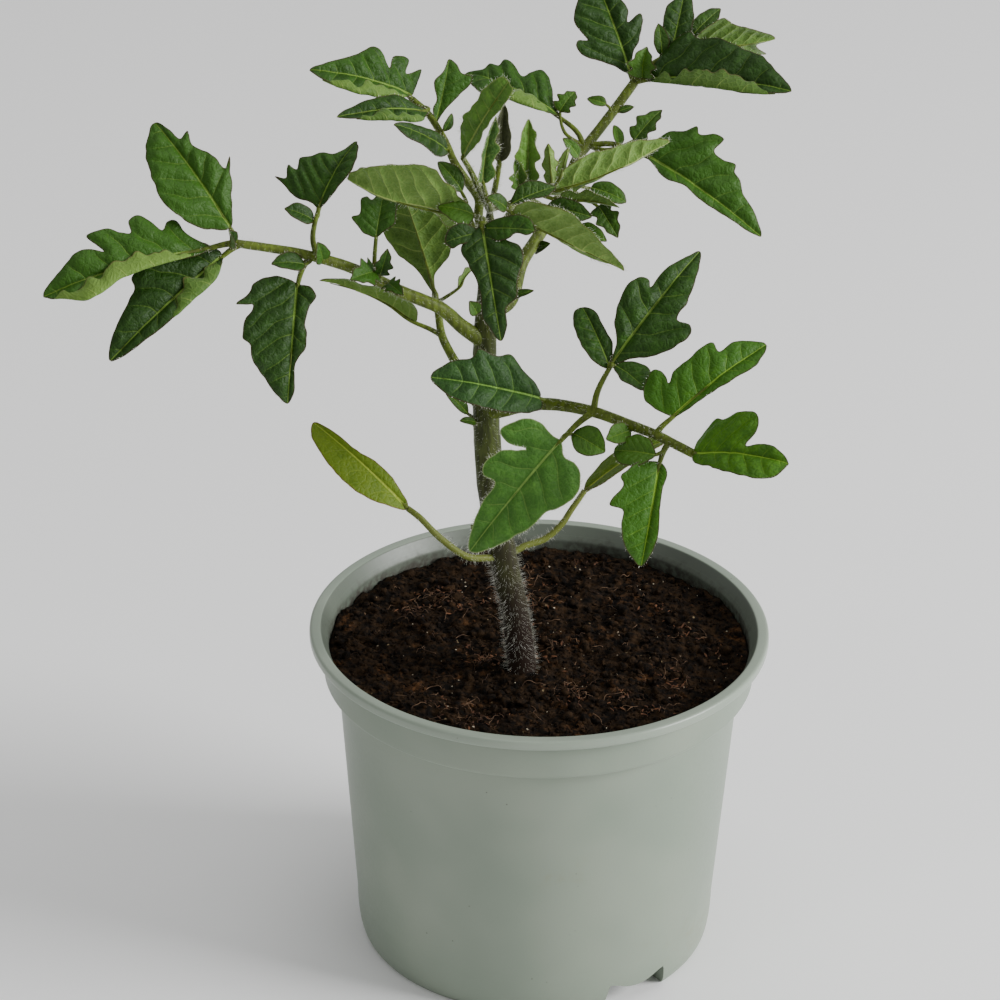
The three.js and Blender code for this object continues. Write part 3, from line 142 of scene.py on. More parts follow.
LEAVES: tuple[LeafRow, ...] = (
    LeafRow("seed_leaf_left", (1.9, 1.6), ((-9.7, -14.8, 118.8), (-14, -18, 120), (-19, -21, 122),
        (-26, -22, 128), (-31, -21, 133), (-34, -20, 135)), (
        Leaflet("blade", 5, (-34, -20, 135), (-58, -12, 155), (0, -.62, .78), 1.5, 2, (8, 8), Look.SEED,
            ((.2, .15), (.45, .22), (.74, .19), (.95, .1)), ((.18, .07), (.39, .09), (.61, .05), (.86, .04))),
    )),
    LeafRow("seed_leaf_right", (1.9, 1.5), ((-9.6, -14.8, 118), (-5, -12, 120), (1, -9, 121), (5, -7, 124),
        (8, -5, 128), (11, -3, 132)), (
        Leaflet("blade", 5, (11, -3, 132), (33, 4, 144), (-.35, -.1, .93), 1.5, 1.5, (8, 8), Look.SEED,
            margin=Margin.OVAL, width=9.5),
    )),
    LeafRow("leaf_front_right", (3.6, 2.2), ((-14.5, -12.9, 159.1), (-11, -16, 161), (-5, -21, 165),
        (1, -26, 168), (12, -36, 171), (21, -43, 171), (27, -48, 171), (36, -56, 170)), (
        Leaflet("first", 2.9, (-1, -27, 170), (-28, -34, 179), (.1, -.75, .65), 1.4, 2, (8, 10), Look.BLUISH,
            ((-.01, .09), (.23, .19), (.57, .2), (.85, .14)), ((.03, .06), (.2, .19), (.35, .3), (.47, .26),
            (.65, .29), (.68, .22), (.88, .14))),
        Leaflet("second", 4, (16, -32, 182), (38, -10, 203), (0, -.62, .78), 1.8, 2, (8, 8), Look.DARK,
            ((.13, .05), (.25, .15), (.45, .22), (.58, .2), (.61, .13), (.58, .1), (.72, .1), (.91, .04)),
            ((.1, .09), (.19, .21), (.33, .3), (.45, .33), (.5, .28), (.49, .19), (.62, .17), (.81, .11))),
        Leaflet("second_left", "second", (16, -32, 181), (9, -20, 192), (.1, -.7, .7), 1.6, 1, (8, 8),
            Look.DARK, ((.12, .16), (.4, .27), (.76, .24), (.98, .12)), ((.33, .16), (.58, .14), (.88, .12))),
        Leaflet("second_right", "second", (17, -32, 182), (25, -38, 178), (0, -.5, .85), 1.6, 1, (6, 6),
            Look.DARK, ((.28, .32), (.79, .4)), ((.3, .22), (.61, .23))),
        Leaflet("third", 6, (31, -48, 176), (54, -34, 189), (0, -.5, .85), 1.8, 2, (6, 12), Look.BRIGHT,
            ((-.08, .26), (.02, .37), (.13, .41), (.18, .35), (.16, .23), (.25, .28), (.4, .28), (.57, .29),
            (.66, .26), (.64, .17), (.79, .17), (.91, .1)), ((.08, .04), (.21, .06), (.33, .07), (.53, .11),
            (.81, .12))),
        Leaflet("end", 7, (36, -56, 170), (58, -72, 176), (.1, -.6, .78), 1.8, 2, (6, 8), Look.BRIGHT,
            ((.01, .18), (.11, .35), (.2, .34), (.34, .41), (.54, .41), (.61, .24), (.57, .08), (.68, .11),
            (.85, .11)), ((.08, .11), (.33, .19), (.56, .24), (.83, .24), (.96, .16))),
        Leaflet("fourth", 6.4, (28, -53, 166), (24, -62, 142), (0, -.92, .4), 1.8, 2, (10, 14), Look.BRIGHT,
            ((.02, .04), (.1, .09), (.24, .07), (.41, .08), (.63, .11), (.84, .08)), ((.04, .22), (.18, .35),
            (.25, .31), (.45, .42), (.49, .28), (.69, .26), (.88, .15))),
        Leaflet("fifth", 4, (4, -40, 165), (-18, -50, 139), (-.1, -.8, .6), 2, 2, (8, 10), Look.SOFT,
            ((.07, .1), (.05, .19), (.12, .31), (.23, .35), (.37, .31), (.44, .26), (.56, .25), (.7, .2),
            (.87, .12)), ((.01, .06), (-.01, .19), (.04, .29), (.21, .36), (.24, .28), (.2, .14), (.31, .26),
            (.45, .3), (.52, .25), (.51, .16), (.67, .14), (.85, .09))),
        Leaflet("small_one", "fifth", (7, -38, 166), (15, -42, 163), (0, -.7, .7), 1, .6, (12, 12), Look.MID,
            margin=Margin.OVAL, width=8),
        Leaflet("small_two", 6.4, (27, -53, 168), (17, -47, 166), (0, -.7, .7), 1.2, .8, (12, 12), Look.MID,
            margin=Margin.OVAL, width=8.5),
        Leaflet("small_three", 5.2, (21, -44, 170), (15, -49, 170), (.1, -.8, .6), 1, .5, (12, 12), Look.MID,
            margin=Margin.OVAL, width=5.5),
    )),
    LeafRow("leaf_left", (3.8, 2), ((-15, -11.9, 178.2), (-17, -13, 180), (-21, -15, 184), (-26, -18, 190),
        (-36, -21, 196), (-48, -25, 204), (-60, -28, 209), (-76, -31, 213)), (
        Leaflet("upper_end", 7, (-77, -31, 217), (-96, -16, 238), (.05, -.66, .75), 1.8, 2.5, (8, 10),
            Look.DARK, ((.17, .25), (.41, .34), (.63, .3), (.87, .18)), ((.12, .09), (.25, .18), (.34, .23),
            (.44, .29), (.39, .21), (.52, .19), (.69, .12), (.79, .15), (.77, .07), (.89, .05))),
        Leaflet("end", 7, (-82, -34, 213), (-121, -50, 207), (0, -.6, .8), 1.8, 3, (10, 8), Look.DARK,
            ((.57, .08), (.7, .13), (.8, .14), (.89, .09)), ((.1, .11), (.14, .2), (.19, .2), (.23, .16),
            (.28, .23), (.34, .28), (.4, .26), (.42, .18), (.53, .24), (.66, .24), (.62, .16), (.6, .12),
            (.67, .16), (.74, .17), (.84, .12)), rolls=((-1, .12, .95, 5.5),)),
        Leaflet("lower_end", 6.9, (-79, -32, 210), (-105, -54, 192), (-.1, -.82, .56), 1.8, 2.5, (12, 6),
            Look.DARK, ((.11, .08), (.22, .1), (.34, .1), (.51, .1), (.61, .1), (.75, .08), (.85, .06)),
            ((.01, .09), (.05, .17), (.12, .21), (.29, .29), (.46, .29), (.54, .27), (.57, .22), (.69, .17),
            (.83, .12), (.92, .08)), rolls=((-1, .03, .55, 5),)),
        Leaflet("bud", 6.9, (-77, -33, 213), (-77, -37, 219), (1, -.3, .2), .9, .5, (40, 40), Look.DARK,
            margin=Margin.OVAL, width=4),
        Leaflet("upper_mid", 5.7, (-56, -25, 220), (-47, -12, 232), (-.35, -.75, .55), 1.6, 2, (10, 25),
            Look.DARK, ((.02, .09), (0, .3), (.08, .53), (.12, .66), (.16, .52), (.32, .57), (.31, .45),
            (.46, .48), (.54, .38), (.66, .26), (.69, .14), (.81, .06)), ((.12, .13), (.32, .21), (.5, .27),
            (.74, .22))),
        Leaflet("upper_mid_small", "upper_mid", (-57, -26, 217), (-64, -28, 221), (0, -.6, .8), 1, .8,
            (12, 12), Look.DARK, margin=Margin.OVAL, width=5),
        Leaflet("lower_mid", 5.8, (-61, -30, 202), (-63, -42, 175), (0, -.92, .4), 1.8, 2.5, (8, 14),
            Look.DARK, ((.02, .11), (.09, .17), (.2, .11), (.3, .1), (.51, .12), (.66, .04), (.88, .05)),
            ((-.03, .07), (-.04, .22), (.04, .37), (.1, .39), (.21, .49), (.21, .35), (.34, .41), (.48, .42),
            (.53, .35), (.63, .33), (.78, .23), (.93, .1))),
        Leaflet("lower_mid_small", 5.8, (-59, -30, 207), (-67, -34, 209), (0, -.6, .8), 1, .8, (12, 12),
            Look.DARK, margin=Margin.OVAL, width=5.5),
        Leaflet("mid_cluster", 5.6, (-55, -27, 206), (-56, -30, 213), (.4, -.8, .4), 1, .8, (12, 12),
            Look.DARK, margin=Margin.OVAL, width=4.5),
        Leaflet("upper_inner", 4.5, (-42, -22, 211), (-40, -14, 221), (0, -.7, .7), 1.3, 1.2, (8, 8),
            Look.DARK, ((.02, .21), (.13, .37), (.27, .52), (.36, .37), (.67, .4), (.73, .3), (.67, .19)),
            ((.13, .17), (.28, .31), (.53, .3), (.84, .28))),
        Leaflet("lower_inner", 4.5, (-42, -25, 203), (-48, -32, 204), (0, -.8, .6), 1.2, 1, (12, 12),
            Look.DARK, margin=Margin.LOBED, width=8),
        Leaflet("lower_inner_up", 4.4, (-41, -25, 202), (-39, -27, 210), (.2, -.8, .5), 1, .6, (12, 12),
            Look.DARK, margin=Margin.LOBED, width=5),
        Leaflet("lower_inner_right", 4.3, (-39, -25, 200), (-35, -32, 200), (.1, -.8, .5), 1, .8, (12, 12),
            Look.DARK, margin=Margin.LOBED, width=5),
    )),
    LeafRow("leaf_back_left", (3, 1.8), ((-14.5, -12.9, 159.6), (-17, -11, 161), (-20, -4, 164),
        (-23, 1, 167), (-26, 6, 171), (-27, 10, 175), (-28, 14, 179)), (
        Leaflet("end", 6, (-28, 14, 179), (-37, 30, 201), (-.2, .85, .45), 1.6, 2.5, (10, 10), Look.DARK,
            ((.17, .04), (.24, .13), (.35, .24), (.56, .31), (.71, .31), (.9, .23)), ((.28, .11), (.48, .23),
            (.71, .3), (.85, .24), (.95, .14))),
        Leaflet("left", 4, (-33, 8, 174), (-57, 4, 187), (.05, .5, .86), 1.5, 2, (20, 20), Look.DARK,
            margin=Margin.LOBED, width=13),
        Leaflet("right", 5.6, (-22, 10, 183), (-16, 14, 188), (.1, .6, .75), 1.2, 1, (12, 12), Look.DARK,
            margin=Margin.LOBED, width=7),
    )),
    LeafRow("leaf_front", (2.6, 2), ((-14.3, -10.8, 203.5), (-15, -15, 209), (-16, -20, 215),
        (-16, -25, 216)), (
        Leaflet("blade", 3, (-16, -25, 216), (-11, -40, 192), (0, -.93, .36), 1.6, 3.5, (4, 4), Look.DARK,
            ((.17, .2), (.24, .29), (.37, .3), (.5, .23), (.68, .19), (.75, .09), (.89, .07)), ((.16, .19),
            (.22, .21), (.32, .17), (.46, .13), (.59, .11), (.8, .12), (.91, .07))),
        Leaflet("left_lobe", 3, (-16, -25, 214), (-25, -29, 213), (0, -.8, .6), 1, 1.5, (4, 4), Look.DARK,
            ((.42, .17), (.7, .19), (.9, .22)), ((.26, .2), (.52, .34), (.79, .29))),
        Leaflet("right_lobe", 3, (-16, -25, 215), (-3, -30, 217), (0, -.8, .6), 1, 1.5, (4, 4), Look.DARK,
            ((.2, .12), (.45, .21), (.72, .24), (.89, .19)), ((.36, .24), (.56, .18), (.7, .08), (.88, .1))),
    )),
    LeafRow("leaf_pale_left", (2.4, 1.8), ((-14.3, -10.8, 203.5), (-18, -12, 208), (-19, -15, 212),
        (-20, -18, 216)), (
        Leaflet("blade", 3, (-19, -18, 216), (-49, -18, 225), (0, .85, .5), 1.6, -2.5, (10, 10), Look.PALE,
            ((.15, .21), (.28, .32), (.41, .42), (.55, .41), (.71, .33), (.93, .16)), ((0, .21), (.1, .26),
            (.28, .05), (.45, .04), (.57, .04), (.75, .04))),
        Leaflet("dark_low", 3, (-18, -21, 217), (-27, -21, 219), (0, -.6, .8), 1.2, 1, (8, 8), Look.MID,
            ((.12, .44), (.37, .48), (.72, .3)), ((.16, .21), (.42, .26), (.7, .15))),
        Leaflet("dark_top", 3, (-21, -14, 220), (-27, -12, 227), (.1, -.6, .8), 1.2, .8, (12, 12), Look.MID,
            margin=Margin.OVAL, width=5),
    )),
    LeafRow("leaf_pale_right", (2.4, 1.8), ((-14.3, -10.8, 203.5), (-11, -13, 208), (-10, -17, 213),
        (-9, -20, 217)), (
        Leaflet("blade", 3, (-9, -20, 217), (19, -26, 205), (.2, .88, .42), 1.6, 0, (10, 10), Look.PALE,
            ((.11, .05), (.23, .04), (.4, .04), (.62, .07), (.84, .06)), ((.08, .18), (.22, .24), (.4, .27),
            (.54, .23), (.69, .17), (.86, .09))),
        Leaflet("dark_upper", 3, (-9, -19, 219), (2, -15, 222), (0, -.6, .8), 1.2, 1, (8, 8), Look.MID,
            ((.2, .22), (.39, .29), (.6, .26), (.83, .13)), ((.23, .12), (.53, .14), (.77, .16))),
        Leaflet("dark_left", 3, (-10, -22, 219), (-15, -24, 223), (0, -.6, .8), 1, .8, (12, 12), Look.MID,
            margin=Margin.OVAL, width=4.4),
    )),
    LeafRow("leaf_pale_back", (2.4, 1.8), ((-14.3, -10.8, 203.5), (-10, -8, 210), (-7, -4, 213),
        (-1, 0, 214)), (
        Leaflet("blade", 3, (-1, 0, 214), (30, 6, 226), (-.1, .86, .5), 1.6, -2, (10, 10), Look.PALE,
            ((.2, .15), (.34, .08), (.53, .04), (.76, .04), (.89, .04)), ((.21, .18), (.39, .24), (.61, .2),
            (.8, .15))),
        Leaflet("second", 2.8, (3, 0, 212), (18, -4, 212), (0, .8, .6), 1.3, 1, (12, 12), Look.YOUNG,
            margin=Margin.LOBED, width=7),
        Leaflet("dark_one", 2.6, (11, 10, 211), (20, 8, 208), (0, -.6, .8), 1, .8, (12, 12), Look.MID,
            margin=Margin.OVAL, width=5.6),
        Leaflet("dark_two", 2.6, (13, 10, 206), (18, 4, 200), (0, -.8, .6), 1, .8, (12, 12), Look.MID,
            margin=Margin.LOBED, width=7),
        Leaflet("dark_three", 2.2, (0, -4, 212), (11, -8, 211), (0, -.8, .6), 1, .8, (12, 12), Look.MID,
            margin=Margin.OVAL, width=6),
        Leaflet("dark_five", 2.8, (1, -4, 218), (0, -2, 228), (0, .9, .3), 1.3, 1, (25, 25), Look.PALE,
            margin=Margin.LOBED, width=4.8),
        Leaflet("spur", 2.9, (3, -3, 219), (5, 0, 226), (0, .9, .3), 1, .6, (25, 25), Look.PALE,
            margin=Margin.OVAL, width=2.6),
        Leaflet("dark_four", 2.4, (8, -2, 206), (15, -5, 203), (0, -.7, .7), 1, .6, (12, 12), Look.MID,
            margin=Margin.OVAL, width=4),
    )),
    LeafRow("leaf_back_right", (3.6, 2.4), ((-14.8, -11.5, 186), (-9, -7, 187), (-6, -1, 195), (-1, 8, 200),
        (4, 18, 206), (8, 25, 213), (10, 27, 215), (16, 33, 221), (22, 38, 228)), (
        Leaflet("left_back", 5.8, (3, 30, 222), (-21, 36, 231), (.1, -.3, .95), 1.6, 2, (10, 8), Look.DARK,
            ((.26, .17), (.51, .24), (.75, .3)), ((.09, .08), (.24, .31), (.35, .36), (.44, .27), (.48, .2),
            (.64, .28), (.72, .28), (.74, .19), (.83, .18), (.87, .09)), rolls=((-1, .08, .62, 5),)),
        Leaflet("left_back_lobe", 5.9, (3, 30, 223), (7, 34, 227), (.1, -.5, .85), 1.2, .8, (12, 12),
            Look.MID, margin=Margin.LOBED, width=6),
        Leaflet("right_mid", 6, (25, 22, 215), (54, 6, 200), (0, -.65, .76), 1.8, 2.5, (8, 14), Look.DARK,
            ((-.01, .13), (.03, .23), (.11, .28), (.17, .36), (.22, .32), (.3, .38), (.38, .39), (.38, .28),
            (.46, .26), (.56, .29), (.59, .24), (.66, .21), (.73, .15), (.86, .1)), ((.14, .06), (.24, .1),
            (.37, .07), (.51, .08), (.65, .07), (.84, .05))),
        Leaflet("right_small", 6, (22, 24, 218), (29, 30, 224), (-.1, -.6, .78), 1.2, .8, (12, 12), Look.MID,
            margin=Margin.LOBED, width=6.5),
        Leaflet("right_bud", 6, (18, 25, 216), (17, 29, 220), (.5, -.6, .5), 1, .5, (12, 12), Look.MID,
            margin=Margin.OVAL, width=3.5),
        Leaflet("mid_small", 7, (15, 33, 224), (10, 34, 225), (0, -.7, .7), 1, .5, (12, 12), Look.MID,
            margin=Margin.OVAL, width=3),
        Leaflet("mid_spur", 7.1, (18, 33, 222), (22, 34, 223), (0, -.7, .7), .9, .3, (12, 12), Look.MID,
            margin=Margin.OVAL, width=2.2),
        Leaflet("low_small", 4.8, (8, 22, 214), (4, 20, 220), (0, -.7, .7), 1, .8, (12, 12), Look.MID,
            margin=Margin.OVAL, width=3.5),
        Leaflet("low_bud", 2.6, (-3, 6, 195), (1, 2, 199), (0, -.7, .7), 1, .5, (12, 12), Look.MID,
            margin=Margin.OVAL, width=3.2),
        Leaflet("end_left", 8, (21, 39, 230), (11, 54, 251), (.1, -.66, .75), 1.8, 2, (8, 8), Look.DARK,
            ((.11, .15), (.2, .29), (.28, .4), (.37, .43), (.42, .39), (.4, .3), (.5, .33), (.61, .36),
            (.7, .31), (.81, .23)), ((.09, .04), (.16, .08), (.27, .18), (.43, .27), (.49, .26), (.45, .13),
            (.55, .17), (.66, .15))),
        Leaflet("end_pale", 8, (24, 38, 229), (25, 40, 237), (-.1, -.5, .85), 1.3, 1.5, (30, 30), Look.MID,
            margin=Margin.LOBED, width=9),
        Leaflet("end_right", 8, (25, 38, 229), (61, 22, 233), (0, -.55, .83), 1.8, 2.5, (8, 10), Look.DARK,
            ((.05, .16), (.12, .27), (.22, .34), (.3, .29), (.42, .29), (.62, .24), (.76, .2), (.87, .12)),
            ((.44, .08), (.61, .09), (.74, .09), (.9, .07)), rolls=((1, .05, .92, 6),)),
        Leaflet("end_up", 8, (31, 42, 233), (35, 54, 248), (.1, -.66, .75), 1.6, 1.5, (8, 8), Look.DARK,
            ((.29, .16), (.66, .19), (.8, .1)), ((.16, .14), (.41, .19), (.66, .17))),
        Leaflet("end_up_small", 8, (29, 42, 234), (28, 46, 241), (.1, -.66, .75), 1.2, .8, (12, 12), Look.MID,
            margin=Margin.OVAL, width=4),
        Leaflet("end_back", 8, (37, 44, 236), (58, 50, 236), (0, .85, .5), 1.6, -1.2, (10, 10), Look.MID,
            ((.32, .11), (.63, .19), (1, .43), (.8, .09)), ((.05, .21), (.17, .36), (.3, .43), (.45, .32),
            (.67, .24))),
        Leaflet("end_back_dark", 8, (36, 46, 237), (44, 52, 243), (0, -.66, .75), 1.2, .8, (12, 12), Look.MID,
            margin=Margin.OVAL, width=5),
    )),
    LeafRow("leaf_upper_left", (2.6, 1.6), ((-14.3, -10.8, 203.5), (-17, -7, 210), (-17, -5, 214),
        (-20, -1, 217), (-23, 3, 220), (-26, 7, 225), (-30, 11, 230), (-34, 13, 233)), (
        Leaflet("end", 7, (-34, 13, 234), (-59, 2, 245), (.1, -.6, .78), 1.6, 2.5, (10, 8), Look.DARK,
            ((.36, .16), (.61, .19), (.89, .12)), ((-.04, .09), (-.09, .26), (.07, .18), (.05, .31),
            (.22, .28), (.28, .15), (.34, .25), (.42, .3), (.63, .18), (.88, .07)),
            rolls=((-1, .08, .92, 3.6),)),
        Leaflet("lower", 6.4, (-30, 8, 232), (-52, -6, 236), (0, -.6, .78), 1.5, 2, (10, 8), Look.DARK,
            ((.21, .17), (.42, .16), (.76, .11)), ((.15, .07), (.3, .14), (.49, .13), (.77, .09)),
            rolls=((-1, .1, .85, 3),)),
        Leaflet("third", 5, (-25, 4, 223), (-38, -8, 235), (0, -.6, .78), 1.4, 1.5, (10, 8), Look.DARK,
            ((.38, .26), (.62, .2), (.88, .15)), ((.06, .13), (.28, .13), (.48, .11), (.76, .08))),
        Leaflet("upper", 5.8, (-28, 10, 228), (-25, 20, 241), (.2, -.8, .5), 1.3, 1.5, (10, 12), Look.DARK,
            ((.19, .1), (.33, .07), (.57, .17), (.76, .06)), ((.14, .06), (.3, .14), (.46, .24), (.61, .35),
            (.78, .38), (.81, .22), (.93, .13))),
        Leaflet("spur", 5.1, (-26, 7, 227), (-24, 9, 231), (.6, -.6, .4), .9, .5, (12, 12), Look.DARK,
            margin=Margin.OVAL, width=2.5),
    )),
)

# The young leaves of the growing tip, which grow as one piece from the end of the stem.
TIP_LEAVES: tuple[LeafRow, ...] = (
    LeafRow("leaf_young", (1.9, 1.3), ((-14.2, -10.8, 213.9), (-16, -12, 218), (-19, -13, 225),
        (-21, -14, 229)), (
        Leaflet("blade", 3, (-21, -14, 229), (-10, -18, 251), (-.3, -.85, .35), 1.3, 2, (10, 10), Look.YOUNG,
            ((.17, .09), (.32, .16), (.49, .18), (.61, .15), (.77, .16), (.92, .13), (1, .07)), ((.2, .07),
            (.39, .09), (.54, .08), (.67, .09), (.83, .11), (.98, .09))),
    )),
    LeafRow("leaf_rolled", (1.5, 1.2), ((-14.2, -10.8, 213.9), (-14, -15, 216), (-15, -17, 220),
        (-16, -18, 224)), (
        Leaflet("blade", 3, (-16, -18, 224), (-13, -21, 243), (.6, -.7, .3), 1.1, -1, (30, 30), Look.YOUNG,
            margin=Margin.LOBED, width=6.4),
    )),
    LeafRow("leaf_furled", (1.6, 1.4), ((-14.2, -10.8, 213.9), (-13, -12, 220), (-12, -12, 227)), (
        Leaflet("blade", 2, (-12, -12, 227), (-11, -11, 242), (0, -1, 0), 1.2, 0, (25, 25), Look.FURLED,
            ((.16, .15), (.44, .17), (.72, .12), (.92, .05)), ((.19, .17), (.43, .17), (.7, .11),
            (.92, .07))),
    )),
    LeafRow("leaf_tip_right", (1.6, 1.3), ((-14.2, -10.8, 213.9), (-8, -10, 216), (-4, -9, 221)), (
        Leaflet("blade", 2, (-5, -9, 220), (-5, -6, 236), (0, -.9, .4), 1.1, 1, (30, 30), Look.YOUNG,
            margin=Margin.LOBED, width=7.4),
        Leaflet("side", 1.8, (-7, -10, 219), (-8, -9, 227), (0, -.9, .4), 1, .8, (25, 25), Look.YOUNG,
            margin=Margin.LOBED, width=4.6),
    )),
)


# ---------------------------------------------------------------- shader arithmetic


class Signal:
    """A number that flows between shader nodes, used like a number in Python."""

    def __init__(self, paint: "Paint", socket: bpy.types.NodeSocket) -> None:
        """Wraps one output socket of a paint's tree."""
        self.paint = paint
        self.socket = socket

    def math(self, operation: str, *others: "Signal | float") -> "Signal":
        """Applies a Math node to this signal.

        Args:
            operation: The node's operation.
            others: The remaining operands, signals or plain numbers.

        Returns:
            The node's result.
        """
        return self.paint.math(operation, self, *others)

    def __add__(self, other: "Signal | float") -> "Signal":
        """Sum."""
        return self.math("ADD", other)

    def __sub__(self, other: "Signal | float") -> "Signal":
        """Difference."""
        return self.math("SUBTRACT", other)

    def __rsub__(self, other: float) -> "Signal":
        """Difference from a number."""
        return self.paint.math("SUBTRACT", other, self)

    def __mul__(self, other: "Signal | float") -> "Signal":
        """Product."""
        return self.math("MULTIPLY", other)

    def __truediv__(self, other: "Signal | float") -> "Signal":
        """Quotient."""
        return self.math("DIVIDE", other)

    def __abs__(self) -> "Signal":
        """Size without sign."""
        return self.math("ABSOLUTE")

    def ramp(self, low: float, high: float) -> "Signal":
        """Rises smoothly between two values, or falls where high is the smaller.

        Args:
            low: The value that gives 0.
            high: The value that gives 1.

        Returns:
            The share from 0 to 1.
        """
        links = {"Value": self, "From Min": low, "From Max": high}
        if low > high:
            links = {"Value": self, "From Min": high, "From Max": low, "To Min": 1.0, "To Max": 0.0}
        smooth = {"interpolation_type": "SMOOTHSTEP"}
        return self.paint.node("ShaderNodeMapRange", smooth, links).out("Result")


@dataclass
class Placed:
    """A node that a paint has placed."""

    paint: "Paint"
    made: bpy.types.Node

    def out(self, name: str) -> Signal:
        """One of the node's outputs."""
        return Signal(self.paint, self.made.outputs[name])


class Paint:
    """A material under construction: one method places every node."""

    def __init__(self, name: str) -> None:
        """Starts a material with one Principled shader."""
        self.material = bpy.data.materials.new(name)
        self.material.use_nodes = True
        self.tree = self.material.node_tree
        self.shader = next(n for n in self.tree.nodes if n.type == "BSDF_PRINCIPLED")

    def set_input(self, socket: bpy.types.NodeSocket, value: object) -> None:
        """Links a signal to a socket, or writes a plain value on it.

        Args:
            socket: The input.
            value: A signal, a number or a colour.
        """
        if isinstance(value, Signal):
            self.tree.links.new(value.socket, socket)
        else:
            socket.default_value = value

    def node(self, kind: str, settings: dict[str, object], links: dict[object, object]) -> Placed:
        """Places a node.

        Args:
            kind: The node's type.
            settings: Its properties, set before its sockets.
            links: Values or signals for its inputs, by name or number.

        Returns:
            The placed node.
        """
        made = self.tree.nodes.new(kind)
        for key, value in settings.items():
            setattr(made, key, value)
        for key, value in links.items():
            self.set_input(made.inputs[key], value)
        return Placed(self, made)

    def math(self, operation: str, *values: Signal | float) -> Signal:
        """Places a Math node.

        Args:
            operation: The node's operation.
            values: Its operands, signals or numbers.

        Returns:
            The node's result.
        """
        return self.node("ShaderNodeMath", {"operation": operation}, dict(enumerate(values))).out("Value")

    def mix(self, share: Signal | float, low: object, high: object) -> Signal:
        """Mixes two colours.

        Args:
            share: Share of the second colour, from 0 to 1.
            low: The first colour.
            high: The second colour.

        Returns:
            The mixed colour.
        """
        links = {0: share, 6: low, 7: high}
        placed = self.node("ShaderNodeMix", {"data_type": "RGBA"}, links)
        return Signal(self, placed.made.outputs[2])

    def place(self) -> Signal:
        """The point on the object, in metres."""
        return self.node("ShaderNodeTexCoord", {}, {}).out("Object")

    def surface(self, name: str) -> Signal:
        """The point on a blade, in millimetres along and across it."""
        return self.node("ShaderNodeUVMap", {"uv_map": name}, {}).out("UV")

    def channels(self, name: str) -> tuple[Signal, Signal, Signal]:
        """The three numbers of a vector attribute."""
        return self.split(self.node("ShaderNodeAttribute", {"attribute_name": name}, {}).out("Vector"))

    def split(self, vector: Signal) -> tuple[Signal, Signal, Signal]:
        """The three numbers of a vector."""
        parts = self.node("ShaderNodeSeparateXYZ", {}, {"Vector": vector})
        return parts.out("X"), parts.out("Y"), parts.out("Z")

    def clouds(self, where: Signal, scale: float, detail: float = 3.0, rough: float = 0.55) -> Signal:
        """Soft noise.

        Args:
            where: The point that it is read at.
            scale: Features for each unit of the point.
            detail: Number of finer layers.
            rough: Strength of the finer layers.

        Returns:
            The noise, from 0 to 1.
        """
        links = {"Vector": where, "Scale": scale, "Detail": detail, "Roughness": rough}
        return self.node("ShaderNodeTexNoise", {}, links).out("Fac")

    def cracks(self, where: Signal, scale: float, flat: bool = False) -> Signal:
        """Distance to the borders of an irregular net of cells.

        Args:
            where: The point that it is read at.
            scale: Cells for each unit of the point.
            flat: Whether the net lies in a plane.

        Returns:
            The distance, in cells.
        """
        settings = {"feature": "DISTANCE_TO_EDGE", "voronoi_dimensions": "2D" if flat else "3D"}
        return self.node("ShaderNodeTexVoronoi", settings, {"Vector": where, "Scale": scale}).out("Distance")

    def cells(self, where: Signal, scale: float) -> Signal:
        """Distance to the middles of scattered cells."""
        return self.node("ShaderNodeTexVoronoi", {}, {"Vector": where, "Scale": scale}).out("Distance")

    def bump(self, height: Signal, strength: float, depth: float) -> Signal:
        """A normal bent by a height in millimetres."""
        links = {"Height": height, "Strength": strength, "Distance": depth * MM}
        return self.node("ShaderNodeBump", {}, links).out("Normal")

    def finish(self, **inputs: object) -> bpy.types.Material:
        """Sets the shader's sockets and hands over the material.

        Args:
            inputs: Values or signals by socket name, with underscores for spaces.

        Returns:
            The finished material.
        """
        for key, value in inputs.items():
            self.set_input(self.shader.inputs[key.replace("_", " ")], value)
        return self.material


# ---------------------------------------------------------------- finishes


